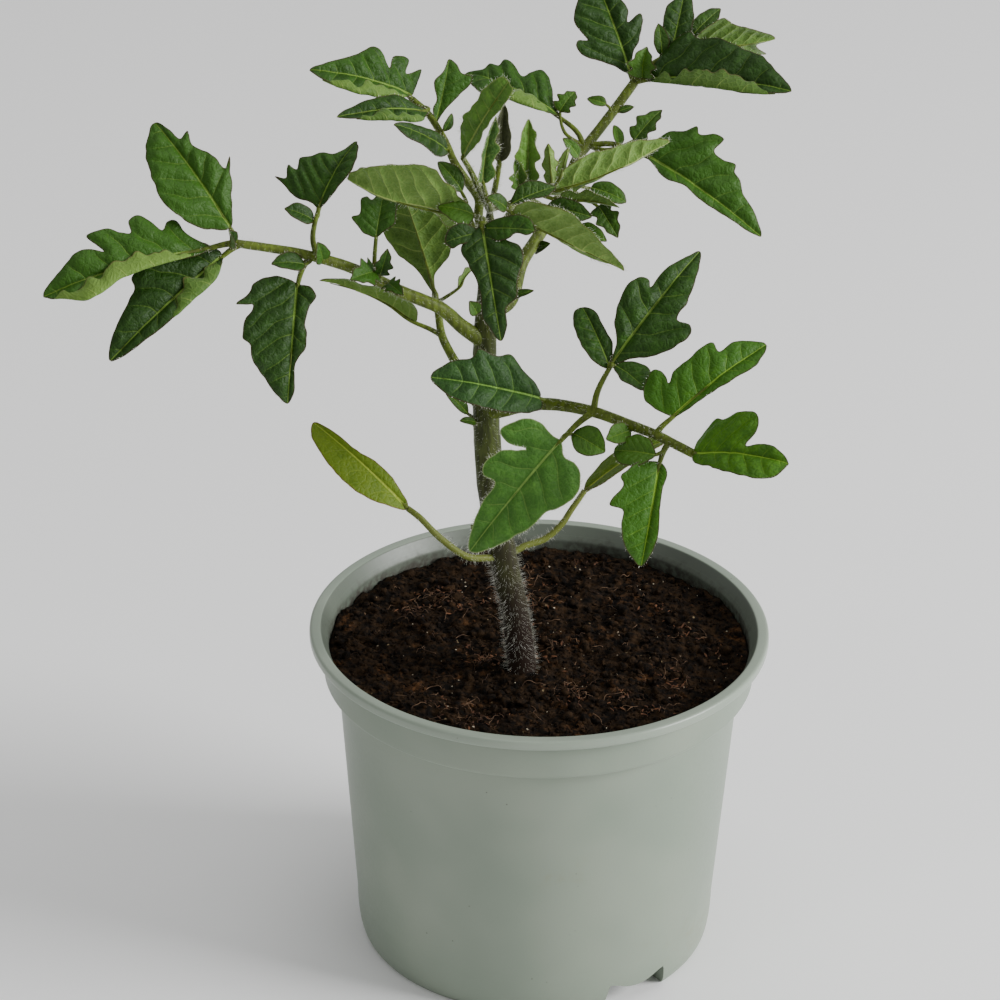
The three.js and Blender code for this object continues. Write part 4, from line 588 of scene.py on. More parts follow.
@dataclass(frozen=True)
class PotFinish:
    """Sage-green moulded plastic: satin, faintly mottled, with dust, specks, a soiled inside darkened by
    painted shade, and a painted highlight on the lip's top.
    """

    body: Colour = srgb(122, 134, 119)
    cloud: Colour = srgb(132, 142, 127)
    smudge: Colour = srgb(128, 124, 92)
    speck: Colour = srgb(72, 70, 60)
    dirt: Colour = srgb(44, 36, 28)
    # painted shade, with some grime: the darker grey of the inner wall
    inside: Colour = srgb(58, 61, 55)
    # painted highlight: the paler colour of the lip's top
    lip_highlight: Colour = srgb(152, 162, 149)
    roughness: float = 0.42

    def material(self) -> bpy.types.Material:
        """Builds the plastic."""
        paint = Paint("pot_plastic")
        at = paint.place()
        x, y, z = paint.split(at)
        across = paint.math("SQRT", x * x + y * y)
        broad = paint.clouds(at, 26, 2).ramp(0.35, 0.7)
        fine = paint.clouds(at, 900, 2)
        colour = paint.mix(broad, self.body, self.cloud)
        smudge = paint.clouds(at, 34, 4, 0.7).ramp(0.62, 0.78) * 0.35
        colour = paint.mix(smudge, colour, self.smudge)
        specks = paint.cells(at, 210).ramp(0.055, 0.03)
        chosen = paint.clouds(at, 60, 1).ramp(0.5, 0.56)
        colour = paint.mix(specks * chosen * 0.8, colour, self.speck)
        wall = across.ramp(0.0560, 0.0556) * z.ramp(0.079, 0.081)
        inner = wall.math("MAXIMUM", across.ramp(0.0572, 0.0570) * z.ramp(0.0877, 0.0880))
        line = z + paint.clouds(at, 160, 4, 0.7) * 0.008
        soiled = line.ramp(0.0925, 0.0875) * inner * paint.clouds(at, 500, 3).ramp(0.3, 0.6)
        # painted shade, with some grime: the inner wall is mixed towards a darker grey
        colour = paint.mix(inner * 0.62, colour, self.inside)
        colour = paint.mix(soiled * 0.85, colour, self.dirt)
        # painted highlight: the lip's top is mixed towards a paler colour
        lip = z.ramp(0.0872, 0.0878) * across.ramp(0.0569, 0.0575)
        colour = paint.mix(lip * 0.35, colour, self.lip_highlight)
        rough = fine * 0.12 + self.roughness - 0.06 + soiled * 0.3 - lip * 0.1
        height = fine * 0.5 + paint.clouds(at, 70, 2) * 1.5
        return paint.finish(
            Base_Color=colour, Roughness=rough, Normal=paint.bump(height, 0.3, 0.12),
            Specular_IOR_Level=0.5, IOR=1.48,
        )


@dataclass(frozen=True)
class SoilFinish:
    """Dark peat mix: near-black grains with redder bark and pale flecks."""

    name: str = "soil_peat"
    dark: Colour = srgb(11, 8, 6)
    brown: Colour = srgb(50, 36, 22)
    red: Colour = srgb(86, 57, 33)
    fleck: Colour = srgb(140, 122, 92)

    def material(self) -> bpy.types.Material:
        """Builds the soil."""
        paint = Paint(self.name)
        at = paint.place()
        grain = paint.clouds(at, 420, 5, 0.7)
        colour = paint.mix(grain.ramp(0.38, 0.68), self.dark, self.brown)
        bark = paint.clouds(at, 150, 3, 0.6).ramp(0.55, 0.72) * grain.ramp(0.45, 0.6)
        colour = paint.mix(bark * 0.75, colour, self.red)
        fleck = paint.cells(at, 330).ramp(0.13, 0.06) * paint.clouds(at, 120, 1).ramp(0.56, 0.62)
        colour = paint.mix(fleck * 0.7, colour, self.fleck)
        height = paint.clouds(at, 1100, 4, 0.75) + paint.cracks(at, 700) * 0.8
        return paint.finish(
            Base_Color=colour, Roughness=grain * 0.25 + 0.7, Normal=paint.bump(height, 0.9, 0.5),
            Specular_IOR_Level=0.08,
        )


@dataclass(frozen=True)
class SkinFinish:
    """Living stem or stalk, streaked along its length, with another colour below a height in metres."""

    name: str
    green: Colour
    shade: Colour
    low: Colour
    low_from: float
    low_to: float
    roughness: float = 0.5

    def material(self) -> bpy.types.Material:
        """Builds the skin."""
        paint = Paint(self.name)
        at = paint.place()
        squeeze = {"Vector": at, "Scale": (1, 1, 0.22)}
        long = paint.node("ShaderNodeMapping", {"vector_type": "POINT"}, squeeze).out("Vector")
        streak = paint.clouds(long, 900, 3, 0.6)
        colour = paint.mix(streak.ramp(0.35, 0.65), self.green, self.shade)
        wander = paint.split(at)[2] + (paint.clouds(at, 90, 2) - 0.5) * 0.03
        colour = paint.mix(wander.ramp(self.low_to, self.low_from), colour, self.low)
        return paint.finish(
            Base_Color=colour, Roughness=streak * 0.2 + self.roughness - 0.1,
            Normal=paint.bump(streak, 0.5, 0.15), Specular_IOR_Level=0.16,
            Sheen_Weight=0.03, Sheen_Roughness=0.4,
        )


@dataclass(frozen=True)
class BladeFinish:
    """One face of a leaf blade: its midrib, side veins, net and margin follow the blade's own map."""

    name: str
    base: Colour
    light: Colour
    vein: Colour
    net: Colour
    edge: Colour
    net_share: float = 0.22
    side_share: float = 0.4
    edge_share: float = 0.75
    roughness: float = 0.5
    sheen: float = 0.0
    raised: float = -1.0

    def material(self) -> bpy.types.Material:
        """Builds the face."""
        paint = Paint(self.name)
        map_point = paint.surface("blade")
        out_along, out_across, _ = paint.split(map_point)
        across = abs(out_across)
        phase, spacing, margin = paint.channels("veins")
        tone, length, _ = paint.channels("tone")
        broad = paint.clouds(map_point, 0.22, 3, 0.6)
        mottle = paint.clouds(map_point, 1.6, 3, 0.65)
        patch = (broad * 0.6 + mottle * 0.4 + tone * 0.5 - 0.25).ramp(0.3, 0.7)
        colour = paint.mix(patch, self.base, self.light)
        cell = paint.cracks(map_point, 0.62, True)
        small = paint.cracks(map_point, 1.5, True)
        net = cell.ramp(0.11, 0.02) * 0.8 + small.ramp(0.09, 0.02) * 0.35
        colour = paint.mix(net.math("MINIMUM", 1.0) * self.net_share, colour, self.net)
        rest = abs(paint.math("FRACT", phase + 0.5) - 0.5) * spacing
        fine = length.ramp(7, 30) * 0.65 + 0.35
        side = rest.ramp(0.2, 0.03) * margin.ramp(0.4, 2.4) * (1.0 - across / length * 1.4)
        colour = paint.mix(side * fine * self.side_share, colour, self.vein)
        along = out_along / length
        thick = (0.34 - along * 0.26) * (length.ramp(2, 36) * 0.75 + 0.25)
        rib = (across - thick).ramp(0.12, -0.1)
        colour = paint.mix(rib * (fine * 0.6 + 0.4), colour, self.vein)
        line = margin.ramp(0.36, 0.06)
        colour = paint.mix(line * self.edge_share, colour, self.edge)
        height = (cell.ramp(0.0, 0.3) * 0.6 + small.ramp(0.0, 0.25) * 0.25) * -self.raised
        height = height + (side * 0.7 + rib) * self.raised + mottle * 0.15
        return paint.finish(
            Base_Color=colour, Roughness=mottle * 0.18 + self.roughness - 0.09,
            Normal=paint.bump(height, 0.6, 0.22), Specular_IOR_Level=0.18,
            Sheen_Weight=self.sheen, Sheen_Roughness=0.45,
        )


@dataclass(frozen=True)
class PlainFinish:
    """A fine part of one colour that varies a little, such as hairs or fibres."""

    name: str
    dark: Colour
    light: Colour
    roughness: float = 0.6
    scale: float = 300.0

    def material(self) -> bpy.types.Material:
        """Builds the material."""
        paint = Paint(self.name)
        at = paint.place()
        share = paint.clouds(at, self.scale, 3)
        colour = paint.mix(share.ramp(0.35, 0.65), self.dark, self.light)
        return paint.finish(
            Base_Color=colour, Roughness=share * 0.2 + self.roughness - 0.1,
            Normal=paint.bump(share, 0.3, 0.1), Specular_IOR_Level=0.3,
        )


PURPLE_EDGE = srgb(58, 38, 26)

BLADES: dict[Look, BladeFinish] = {
    Look.DARK: BladeFinish(
        "leaf_dark", srgb(27, 54, 9), srgb(46, 82, 16), srgb(104, 134, 50), srgb(62, 92, 32), PURPLE_EDGE),
    Look.BLUISH: BladeFinish(
        "leaf_bluish", srgb(34, 62, 24), srgb(54, 90, 34), srgb(108, 146, 60), srgb(66, 102, 44),
        PURPLE_EDGE),
    Look.MID: BladeFinish(
        "leaf_mid", srgb(36, 64, 12), srgb(58, 94, 22), srgb(118, 150, 56), srgb(74, 110, 34), PURPLE_EDGE),
    Look.BRIGHT: BladeFinish(
        "leaf_bright", srgb(46, 86, 10), srgb(74, 118, 20), srgb(124, 162, 52), srgb(84, 126, 30),
        PURPLE_EDGE, net_share=0.12, side_share=0.3),
    Look.SOFT: BladeFinish(
        "leaf_soft", srgb(54, 96, 28), srgb(84, 131, 46), srgb(126, 160, 76), srgb(90, 126, 56),
        srgb(134, 150, 96), sheen=0.1),
    Look.FURLED: BladeFinish(
        "leaf_furled", srgb(38, 42, 22), srgb(60, 64, 38), srgb(84, 90, 56), srgb(62, 68, 42),
        srgb(96, 98, 70), sheen=0.1),
    Look.YOUNG: BladeFinish(
        "leaf_young", srgb(40, 74, 14), srgb(76, 114, 34), srgb(128, 148, 70), srgb(90, 116, 48),
        srgb(110, 122, 66), sheen=0.12),
    Look.PALE: BladeFinish(
        "leaf_pale", srgb(90, 122, 50), srgb(132, 160, 84), srgb(164, 180, 98), srgb(140, 160, 78),
        srgb(96, 92, 46), sheen=0.12, roughness=0.55, raised=1.0),
    Look.SEED: BladeFinish(
        "seed_leaf", srgb(66, 92, 10), srgb(92, 114, 18), srgb(140, 156, 52), srgb(118, 138, 40),
        srgb(96, 62, 20), side_share=0.25, sheen=0.05),
}
UNDERSIDE = BladeFinish(
    "leaf_underside", srgb(62, 92, 28), srgb(92, 122, 46), srgb(150, 168, 84), srgb(112, 138, 62),
    srgb(84, 74, 40), sheen=0.12, roughness=0.58, raised=1.0)
STALK_SKIN = SkinFinish("stalk_skin", srgb(88, 104, 32), srgb(64, 74, 24), srgb(92, 100, 42), 0.125, 0.145)
STEM_SKIN = SkinFinish("stem_skin", srgb(70, 80, 32), srgb(46, 52, 22), srgb(34, 24, 18), 0.095, 0.16)
HAIR = PlainFinish("plant_hair", srgb(196, 198, 180), srgb(236, 236, 226), 0.5)
FIBRE = PlainFinish("soil_fibre", srgb(66, 46, 32), srgb(128, 100, 76), 0.7)
BARK = PlainFinish("soil_bark", srgb(50, 29, 16), srgb(104, 66, 40), 0.75)
FLECK = PlainFinish("soil_fleck", srgb(120, 106, 88), srgb(190, 178, 156), 0.7)


# ---------------------------------------------------------------- meshes made in code


def unit(vectors: Array) -> Array:
    """Vectors of length one, along the last axis."""
    return vectors / np.maximum(np.linalg.norm(vectors, axis=-1, keepdims=True), TINY)


def quads(near: Array, beside: Array, far: Array, across: Array) -> Array:
    """Cuts quads into triangles.

    Args:
        near: First corners.
        beside: Second corners, in turn round the quads.
        far: Third corners.
        across: Fourth corners.

    Returns:
        Two triangles for each quad.
    """
    return np.concatenate([np.stack([near, beside, far], 1), np.stack([near, far, across], 1)])


@dataclass
class Weave:
    """Gathers the triangles of one object, with their materials, blade map and blade facts."""

    points: list[Array] = field(default_factory=list)
    faces: list[Array] = field(default_factory=list)
    finish: list[Array] = field(default_factory=list)
    blade_map: list[Array] = field(default_factory=list)
    veins: list[Array] = field(default_factory=list)
    tone: list[Array] = field(default_factory=list)
    smooth: list[Array] = field(default_factory=list)
    count: int = 0

    def add(
        self, points: Array, faces: Array, finish: int, blade_map: Array | None = None,
        veins: Array | None = None, tone: Pair = (0.5, 1.0), smooth: bool = True,
    ) -> None:
        """Adds a block of triangles.

        Args:
            points: Corners in millimetres.
            faces: Triangles of corner numbers.
            finish: Number of the material on the object.
            blade_map: Place on the blade in millimetres, for each corner.
            veins: Vein phase, vein spacing and distance from the margin, for each corner.
            tone: Tone and blade length, the same all over the block.
            smooth: Whether the block is shaded smooth.
        """
        number = len(points)
        self.points.append(points)
        self.faces.append(faces + self.count)
        self.finish.append(np.full(len(faces), finish))
        self.smooth.append(np.full(len(faces), smooth))
        self.blade_map.append(np.zeros((number, 2)) if blade_map is None else blade_map)
        self.veins.append(np.tile((0.5, 1.0, 5.0), (number, 1)) if veins is None else veins)
        self.tone.append(np.tile((*tone, 0.0), (number, 1)))
        self.count += number

    def build(self, name: str, materials: Sequence[bpy.types.Material]) -> bpy.types.Object:
        """Makes the object.

        Args:
            name: The object's name.
            materials: Its materials, in the order of their numbers.

        Returns:
            The object, in the scene.
        """
        points = np.concatenate(self.points) * MM
        faces = np.concatenate(self.faces).astype(np.int32)
        mesh = bpy.data.meshes.new(name)
        mesh.vertices.add(len(points))
        mesh.vertices.foreach_set("co", points.astype(np.float32).ravel())
        mesh.loops.add(faces.size)
        mesh.loops.foreach_set("vertex_index", faces.ravel())
        mesh.polygons.add(len(faces))
        mesh.polygons.foreach_set("loop_start", np.arange(0, faces.size, 3, dtype=np.int32))
        for material in materials:
            mesh.materials.append(material)
        mesh.polygons.foreach_set("material_index", np.concatenate(self.finish).astype(np.int32))
        mesh.polygons.foreach_set("use_smooth", np.concatenate(self.smooth))
        layer = mesh.uv_layers.new(name="blade")
        flat = np.concatenate(self.blade_map)[faces.ravel()]
        layer.data.foreach_set("uv", flat.astype(np.float32).ravel())
        for title, blocks in (("veins", self.veins), ("tone", self.tone)):
            made = mesh.attributes.new(title, "FLOAT_VECTOR", "POINT")
            made.data.foreach_set("vector", np.concatenate(blocks).astype(np.float32).ravel())
        mesh.update(calc_edges=True)
        mesh.validate()
        made_object = bpy.data.objects.new(name, mesh)
        bpy.context.scene.collection.objects.link(made_object)
        return made_object


class Path:
    """A centripetal Catmull-Rom curve through points, as in the part's source."""

    def __init__(self, points: Sequence[Triple], samples: int = 24) -> None:
        """Samples the curve.

        Args:
            points: The points it passes through, in millimetres.
            samples: Samples for each span.
        """
        knots = np.array(points, float)
        ends = np.vstack([2 * knots[0] - knots[1], knots, 2 * knots[-1] - knots[-2]])
        rows = []
        for i in range(len(knots) - 1):
            rows.append(self.span(ends[i:i + 4], np.linspace(0, 1, samples, endpoint=False)))
        rows.append(knots[-1:])
        self.samples = samples
        self.line = np.vstack(rows)
        steps = np.linalg.norm(np.diff(self.line, axis=0), axis=1)
        self.reach = np.concatenate([[0.0], np.cumsum(steps)])
        self.length = float(self.reach[-1])

    @staticmethod
    def span(four: Array, shares: Array) -> Array:
        """The curve between the second and third of four knots.

        Args:
            four: The knots.
            shares: Where to read it, from 0 to 1.

        Returns:
            Its points.
        """
        one, two, three = np.sqrt(np.maximum(np.linalg.norm(np.diff(four, axis=0), axis=1), 1e-6))
        into = (four[1] - four[0]) / one - (four[2] - four[0]) / (one + two) + (four[2] - four[1]) / two
        away = (four[2] - four[1]) / two - (four[3] - four[1]) / (two + three) + (four[3] - four[2]) / three
        into, away = into * two, away * two
        t = shares[:, None]
        a, b = four[1], four[2]
        return (
            a + into * t + (-3 * a + 3 * b - 2 * into - away) * t ** 2
            + (2 * a - 2 * b + into + away) * t ** 3
        )

    def knot(self, number: float) -> Array:
        """The point at a knot number.

        Args:
            number: Number of the knot, which may lie between two knots.

        Returns:
            The point.
        """
        place = number * self.samples
        low = min(int(place), len(self.line) - 2)
        return self.line[low] + (self.line[low + 1] - self.line[low]) * (place - low)

    def at(self, shares: Array) -> Array:
        """Points at shares of the length."""
        lengths = np.asarray(shares) * self.length
        return np.stack([np.interp(lengths, self.reach, self.line[:, k]) for k in range(3)], axis=-1)


@dataclass
class Tube:
    """A round tube along a path, which hairs can stand on."""

    sideways: ClassVar[float] = 0.95  # above this the first spoke would lie too near the path
    look_ahead: ClassVar[float] = 0.004  # share of the length that directions are measured over
    hair_sink: ClassVar[float] = 0.94  # share of the radius that hairs stand on
    hair_lean: ClassVar[float] = 0.1

    path: Path
    radius: Callable[[Array], Array]
    rings: int
    sides: int
    ripple: float = 0.0
    seed: int = 0

    def frames(self, shares: Array) -> tuple[Array, Array, Array]:
        """Sections of the tube, turned as little as possible.

        Args:
            shares: Where they lie, in shares of the length.

        Returns:
            Their centres, and two spokes of each.
        """
        centres = self.path.at(shares)
        step = self.look_ahead
        ahead = unit(self.path.at(np.minimum(shares + step, 1)) - self.path.at(np.maximum(shares - step, 0)))
        spoke = np.zeros_like(centres)
        last = np.array((0.0, -1.0, 0.0))
        if abs(ahead[0] @ last) > self.sideways:
            last = np.array((1.0, 0.0, 0.0))
        for i, direction in enumerate(ahead):
            last = last - direction * (last @ direction)
            last = last / np.linalg.norm(last)
            spoke[i] = last
        return centres, spoke, np.cross(ahead, spoke)

    def weave(self, into: Weave, finish: int) -> None:
        """Adds the tube, closed at both ends, to a weave.

        Args:
            into: The weave.
            finish: Number of the material.
        """
        shares = np.linspace(0, 1, self.rings)
        centres, first, second = self.frames(shares)
        angles = np.linspace(0, FULL_TURN, self.sides, endpoint=False)
        radii = self.radius(shares)[:, None] * np.ones(self.sides)
        if self.ripple:
            for i in range(self.rings):
                for j in range(self.sides):
                    where = Vector((angles[j] * 2.2, shares[i] * self.path.length * 0.25, self.seed))
                    radii[i, j] *= 1 + self.ripple * noise.noise(where)
        ring = (
            centres[:, None] + first[:, None] * (np.cos(angles) * radii)[..., None]
            + second[:, None] * (np.sin(angles) * radii)[..., None]
        )
        points = np.vstack([ring.reshape(-1, 3), centres[:1], centres[-1:]])
        i, j = np.meshgrid(np.arange(self.rings - 1), np.arange(self.sides), indexing="ij")
        a = (i * self.sides + j).ravel()
        b = (i * self.sides + (j + 1) % self.sides).ravel()
        around = quads(a, b, b + self.sides, a + self.sides)
        near = np.arange(self.sides)
        after = (near + 1) % self.sides
        last = (self.rings - 1) * self.sides
        first_cap = np.stack([np.full(self.sides, len(points) - 2), after, near], 1)
        last_cap = np.stack([np.full(self.sides, len(points) - 1), near + last, after + last], 1)
        into.add(points, np.vstack([around, first_cap, last_cap]), finish)

    def hairs(self, into: Weave, finish: int, count: int, length: Pair, dice: random.Random,
              span: Pair = (0.0, 1.0), thick: float = 0.05) -> None:
        """Stands hairs on the tube.

        Args:
            into: The weave that takes them.
            finish: Number of their material.
            count: How many.
            length: Their shortest and longest length, in millimetres.
            dice: Seeded random numbers.
            span: The stretch of the tube that carries them, in shares of its length.
            thick: Their width at the root, in millimetres.
        """
        shares = np.sort(np.array([dice.uniform(*span) for _ in range(count)]))
        centres, first, second = self.frames(shares)
        turn = np.array([dice.uniform(0, FULL_TURN) for _ in range(count)])[:, None]
        out = first * np.cos(turn) + second * np.sin(turn)
        lean = np.array([[dice.gauss(0, self.hair_lean) for _ in range(3)] for _ in range(count)])
        sizes = np.array([dice.uniform(*length) for _ in range(count)])
        roots = centres + out * (self.radius(shares)[:, None] * self.hair_sink)
        add_hairs(into, finish, roots, unit(out + lean), sizes, thick)


def add_hairs(into: Weave, finish: int, roots: Array, ways: Array, sizes: Array, thick: float) -> None:
    """Adds three-sided hairs that taper to a point.

    Args:
        into: The weave that takes them.
        finish: Number of their material.
        roots: Where they stand, in millimetres.
        ways: Their directions.
        sizes: Their lengths.
        thick: Their width at the root.
    """
    odd_way = np.array((0.31, 0.52, 0.79))  # lies along no hair
    aside = unit(np.cross(ways, odd_way))
    other = np.cross(ways, aside)
    feet = []
    for k in range(3):
        angle = FULL_TURN * k / 3
        feet.append(roots + (aside * math.cos(angle) + other * math.sin(angle)) * thick / 2)
    tips = roots + ways * sizes[:, None]
    points = np.stack([*feet, tips], axis=1).reshape(-1, 3)
    start = np.arange(len(roots))[:, None] * 4
    faces = np.concatenate([start + np.array(t) for t in ((0, 1, 3), (1, 2, 3), (2, 0, 3), (0, 2, 1))])
    into.add(points, faces, finish, smooth=False)


# ---------------------------------------------------------------- blades


@dataclass(frozen=True)
class Relief:
    """How a blade's face is shaped: its side veins and the bulges between them, in millimetres."""

    veins: int = 6  # side veins of each half
    sweep: float = 0.55  # how far they lean to the tip
    quilt: float = 0.55  # height of the bulges between them
    pucker: float = 0.22
    wave: float = 0.5
    pitch: float = 0.42  # of the net of triangles
    thickness: float = 0.3
    ragged: float = 0.34  # unevenness of the margin


RELIEFS: dict[Look, Relief] = {
    Look.DARK: Relief(quilt=0.95, pucker=0.3),
    Look.BLUISH: Relief(quilt=0.75),
    Look.MID: Relief(quilt=0.75),
    Look.BRIGHT: Relief(quilt=0.55, pucker=0.18),
    Look.SOFT: Relief(quilt=0.85, pucker=0.22),
    Look.FURLED: Relief(veins=3, quilt=0.15, pucker=0.2, wave=0.2, pitch=0.36),
    Look.YOUNG: Relief(veins=7, quilt=0.6, pucker=0.3, pitch=0.36, ragged=0.8),
    Look.PALE: Relief(veins=7, quilt=0.8, pucker=0.34, pitch=0.36, ragged=0.6),
    Look.SEED: Relief(veins=4, quilt=0.08, pucker=0.05, wave=0.3),
}


# Section of a rolled margin: how far in from the blade's edge, as a share of the roll's width or, where
# it is negative, in millimetres, and how high above the blade, in millimetres.
ROLL_PROFILE: tuple[Pair, ...] = (
    (0.0, -0.1), (-0.32, 0.2), (-0.3, 0.7), (0.06, 1.15), (0.3, 1.45), (0.58, 1.5), (0.82, 1.3), (1.0, 0.95),
)
ROLL_THICKNESS = 0.22


def rounded(drawn: Array, spacing: float) -> Array:
    """A closed smooth line through drawn points, sampled evenly.

    Args:
        drawn: Points of the line, in millimetres.
        spacing: Distance between its samples.

    Returns:
        The samples, without the first one repeated.
    """
    knots = np.vstack([drawn[-1:], drawn, drawn[:2]])
    parts = []
    for i in range(len(drawn)):
        four = np.column_stack([knots[i:i + 4], np.zeros(4)])
        size = float(np.linalg.norm(knots[i + 2] - knots[i + 1]))
        steps = max(2, int(math.ceil(size / spacing)))
        parts.append(Path.span(four, np.linspace(0, 1, steps, endpoint=False))[:, :2])
    return np.vstack(parts)


def distance_to_line(points: Array, line: Array) -> Array:
    """Distance of points from a closed line, in the plane.

    Args:
        points: The points.
        line: Corners of the line, in order.

    Returns:
        A distance for each point.
    """
    way = np.roll(line, -1, axis=0) - line
    squared = np.maximum((way ** 2).sum(1), TINY)
    best = np.full(len(points), np.inf)
    for a, w, s in zip(line, way, squared):
        share = np.clip(((points - a) @ w) / s, 0, 1)
        gap = points - a - share[:, None] * w
        best = np.minimum(best, (gap ** 2).sum(1))
    return np.sqrt(best)


def inside_line(points: Array, line: Array) -> Array:
    """Tells which points lie inside a closed line.

    Args:
        points: The points.
        line: Corners of the line, in order.

    Returns:
        True for each point inside.
    """
    inside = np.zeros(len(points), bool)
    for (x0, y0), (x1, y1) in zip(line, np.roll(line, -1, axis=0)):
        crosses = (y0 > points[:, 1]) != (y1 > points[:, 1])
        if y1 != y0:
            inside ^= crosses & (points[:, 0] < (x1 - x0) * (points[:, 1] - y0) / (y1 - y0) + x0)
    return inside


def field_of(points: Array, scale: float, layer: float) -> Array:
    """Smooth noise over points in the plane.

    Args:
        points: The points, in millimetres.
        scale: Features for each millimetre.
        layer: Which of the endless layers of noise is read.

    Returns:
        A value from -1 to 1 for each point.
    """
    return np.array([noise.noise(Vector((x * scale, y * scale, layer))) for x, y in points])


class Blade:
    """A leaf blade: a smooth outline filled with a fine net, bent and quilted as the real one."""

    narrowest = 0.02  # half width, as a share of the length
    margin_scale = 0.42  # features of the uneven margin for each millimetre
    margin_pitch = 0.8  # of its points, as a share of the net's pitch
    even_tip = 1.2  # the margin is less uneven within this of the midrib, in millimetres
    wobble_scale, wobble = 0.16, 0.3  # of the side veins
    first_vein = 0.08  # share of the length
    full_relief = 26.0  # length of a blade whose bulges have their full height
    roundness = 0.8  # of the bulges: 1 is a sine
    margin_fade, rib_fade = 2.0, 2.2  # strips in which the bulges die away, in millimetres
    pucker_scale = 0.42
    wave_scale = 0.13
    wavy_edge = 0.16  # strip along the margin, as a share of the length
    rib_width, rib_depth = 0.55, 0.3
    fold_width = 0.6  # strip on each side of the midrib that takes up the fold
    thin_edge = (0.35, 1.2)  # share of the thickness at the margin, and the rate at which it thins
    row_height = 0.866  # of a row of triangles, in sides
    rib_gap, margin_gap = 0.45, 0.55  # left between the net and these lines, in sides
    vein_spacing = 0.86  # between side veins, as a share of their even spacing
    roll_scale = 0.3  # features of a rolled margin for each millimetre
    roll_reach = (0.85, 0.9)  # its width, and how much of it varies
    roll_lift = 0.5  # how much of its height varies
    roll_inside = 4  # distance from the margin that its inner edge shows, in millimetres

    def __init__(self, leaflet: Leaflet, seed: int) -> None:
        """Works out the blade's own directions.

        Args:
            leaflet: Its row.
            seed: Start of its random numbers.
        """
        self.leaflet = leaflet
        self.seed = seed
        self.relief = RELIEFS[leaflet.look]
        self.origin = np.array(leaflet.base, float)
        along = np.array(leaflet.tip, float) - self.origin
        self.length = float(np.linalg.norm(along))
        self.along = along / self.length
        face = np.array(leaflet.face, float)
        self.up = unit(face - self.along * (face @ self.along))
        self.right = np.cross(self.along, self.up)

    def margin(self, side: int) -> list[Pair]:
        """The margin of one half.

        Args:
            side: 1 for the right half and -1 for the left one.

        Returns:
            Places along and out from the midrib, in shares of the length.
        """
        drawn = self.leaflet.right if side > 0 else self.leaflet.left
        rows = drawn or self.leaflet.margin.value
        scale = 1.0 if drawn else self.leaflet.width / 2 / self.length
        return [(along, max(out * scale, self.narrowest)) for along, out in rows]

    def outline(self) -> Array:
        """The blade's smooth margin.

        Returns:
            Its points, in millimetres along and across the blade.
        """
        rows = [(0.0, 0.0)]
        rows += [(a, -o) for a, o in self.margin(-1)]
        rows += [(1.0, 0.0)]
        rows += [(a, o) for a, o in reversed(self.margin(1))]
        line = rounded(np.array(rows) * self.length, self.relief.pitch * self.margin_pitch)
        middle = line.mean(0)
        for i, point in enumerate(line):
            where = Vector((*(point * self.margin_scale), self.seed * 3.7))
            out = point - middle
            fade = min(1.0, abs(point[1]) / self.even_tip)
            line[i] += unit(out) * noise.noise(where) * self.relief.ragged * fade
        return line

    def height(self, flat: Array, margin: Array) -> tuple[Array, Array]:
        """Relief of the upper face, and the phase of the side veins.

        Args:
            flat: Points along and across the blade, in millimetres.
            margin: Their distance from the margin.

        Returns:
            Heights in millimetres, and phases that are whole numbers on the veins.
        """
        relief = self.relief
        u, w = flat[:, 0] / self.length, np.abs(flat[:, 1]) / self.length
        wobble = field_of(flat, self.wobble_scale, self.seed) * self.wobble
        phase = (u - w * relief.sweep * (1 + w) + self.first_vein) * relief.veins + wobble
        bulge = np.abs(np.sin(math.pi * phase)) ** self.roundness
        fade = np.clip(margin / self.margin_fade, 0, 1) * np.clip(np.abs(flat[:, 1]) / self.rib_fade, 0, 1)
        size = min(1.0, self.length / self.full_relief)
        height = relief.quilt * size * bulge * fade
        scale, layer = self.pucker_scale, self.seed * 1.3
        cell = np.array([noise.voronoi(Vector((x * scale, y * scale, layer)))[0][0] for x, y in flat])
        height = height + relief.pucker * (0.5 - np.clip(cell, 0, 1)) * np.clip(margin / 1.0, 0.2, 1)
        wave = field_of(flat, self.wave_scale, self.seed * 2.1 + 9)
        edge = np.clip(1 - margin / (self.wavy_edge * self.length), 0, 1)
        height = height + relief.wave * size * wave * (0.4 + 1.4 * edge)
        rib = np.exp(-(flat[:, 1] / self.rib_width) ** 2)
        return height - self.rib_depth * rib * size, phase

    def place(self, flat: Array, height: Array) -> Array:
        """Bends points on the blade into space.

        Args:
            flat: Points along and across the blade, in millimetres.
            height: How far each one is lifted off it.

        Returns:
            The points in space.
        """
        u = flat[:, 0] / self.length
        inside = np.clip(u, 0, 1)
        side = np.where(flat[:, 1] > 0, 1, -1)
        left, right = (math.radians(angle) for angle in self.leaflet.fold)
        fold = np.where(side > 0, right, left) * np.clip(np.abs(flat[:, 1]) / self.fold_width, 0, 1)
        across = np.abs(flat[:, 1])
        lift = self.leaflet.arch * 4 * inside * (1 - inside) + across * np.sin(fold)
        normal = self.up * np.cos(fold)[:, None] - self.right * (side * np.sin(fold))[:, None]
        return (
            self.origin + self.along * flat[:, :1] + self.up * lift[:, None]
            + self.right * (side * across * np.cos(fold))[:, None] + normal * height[:, None]
        )

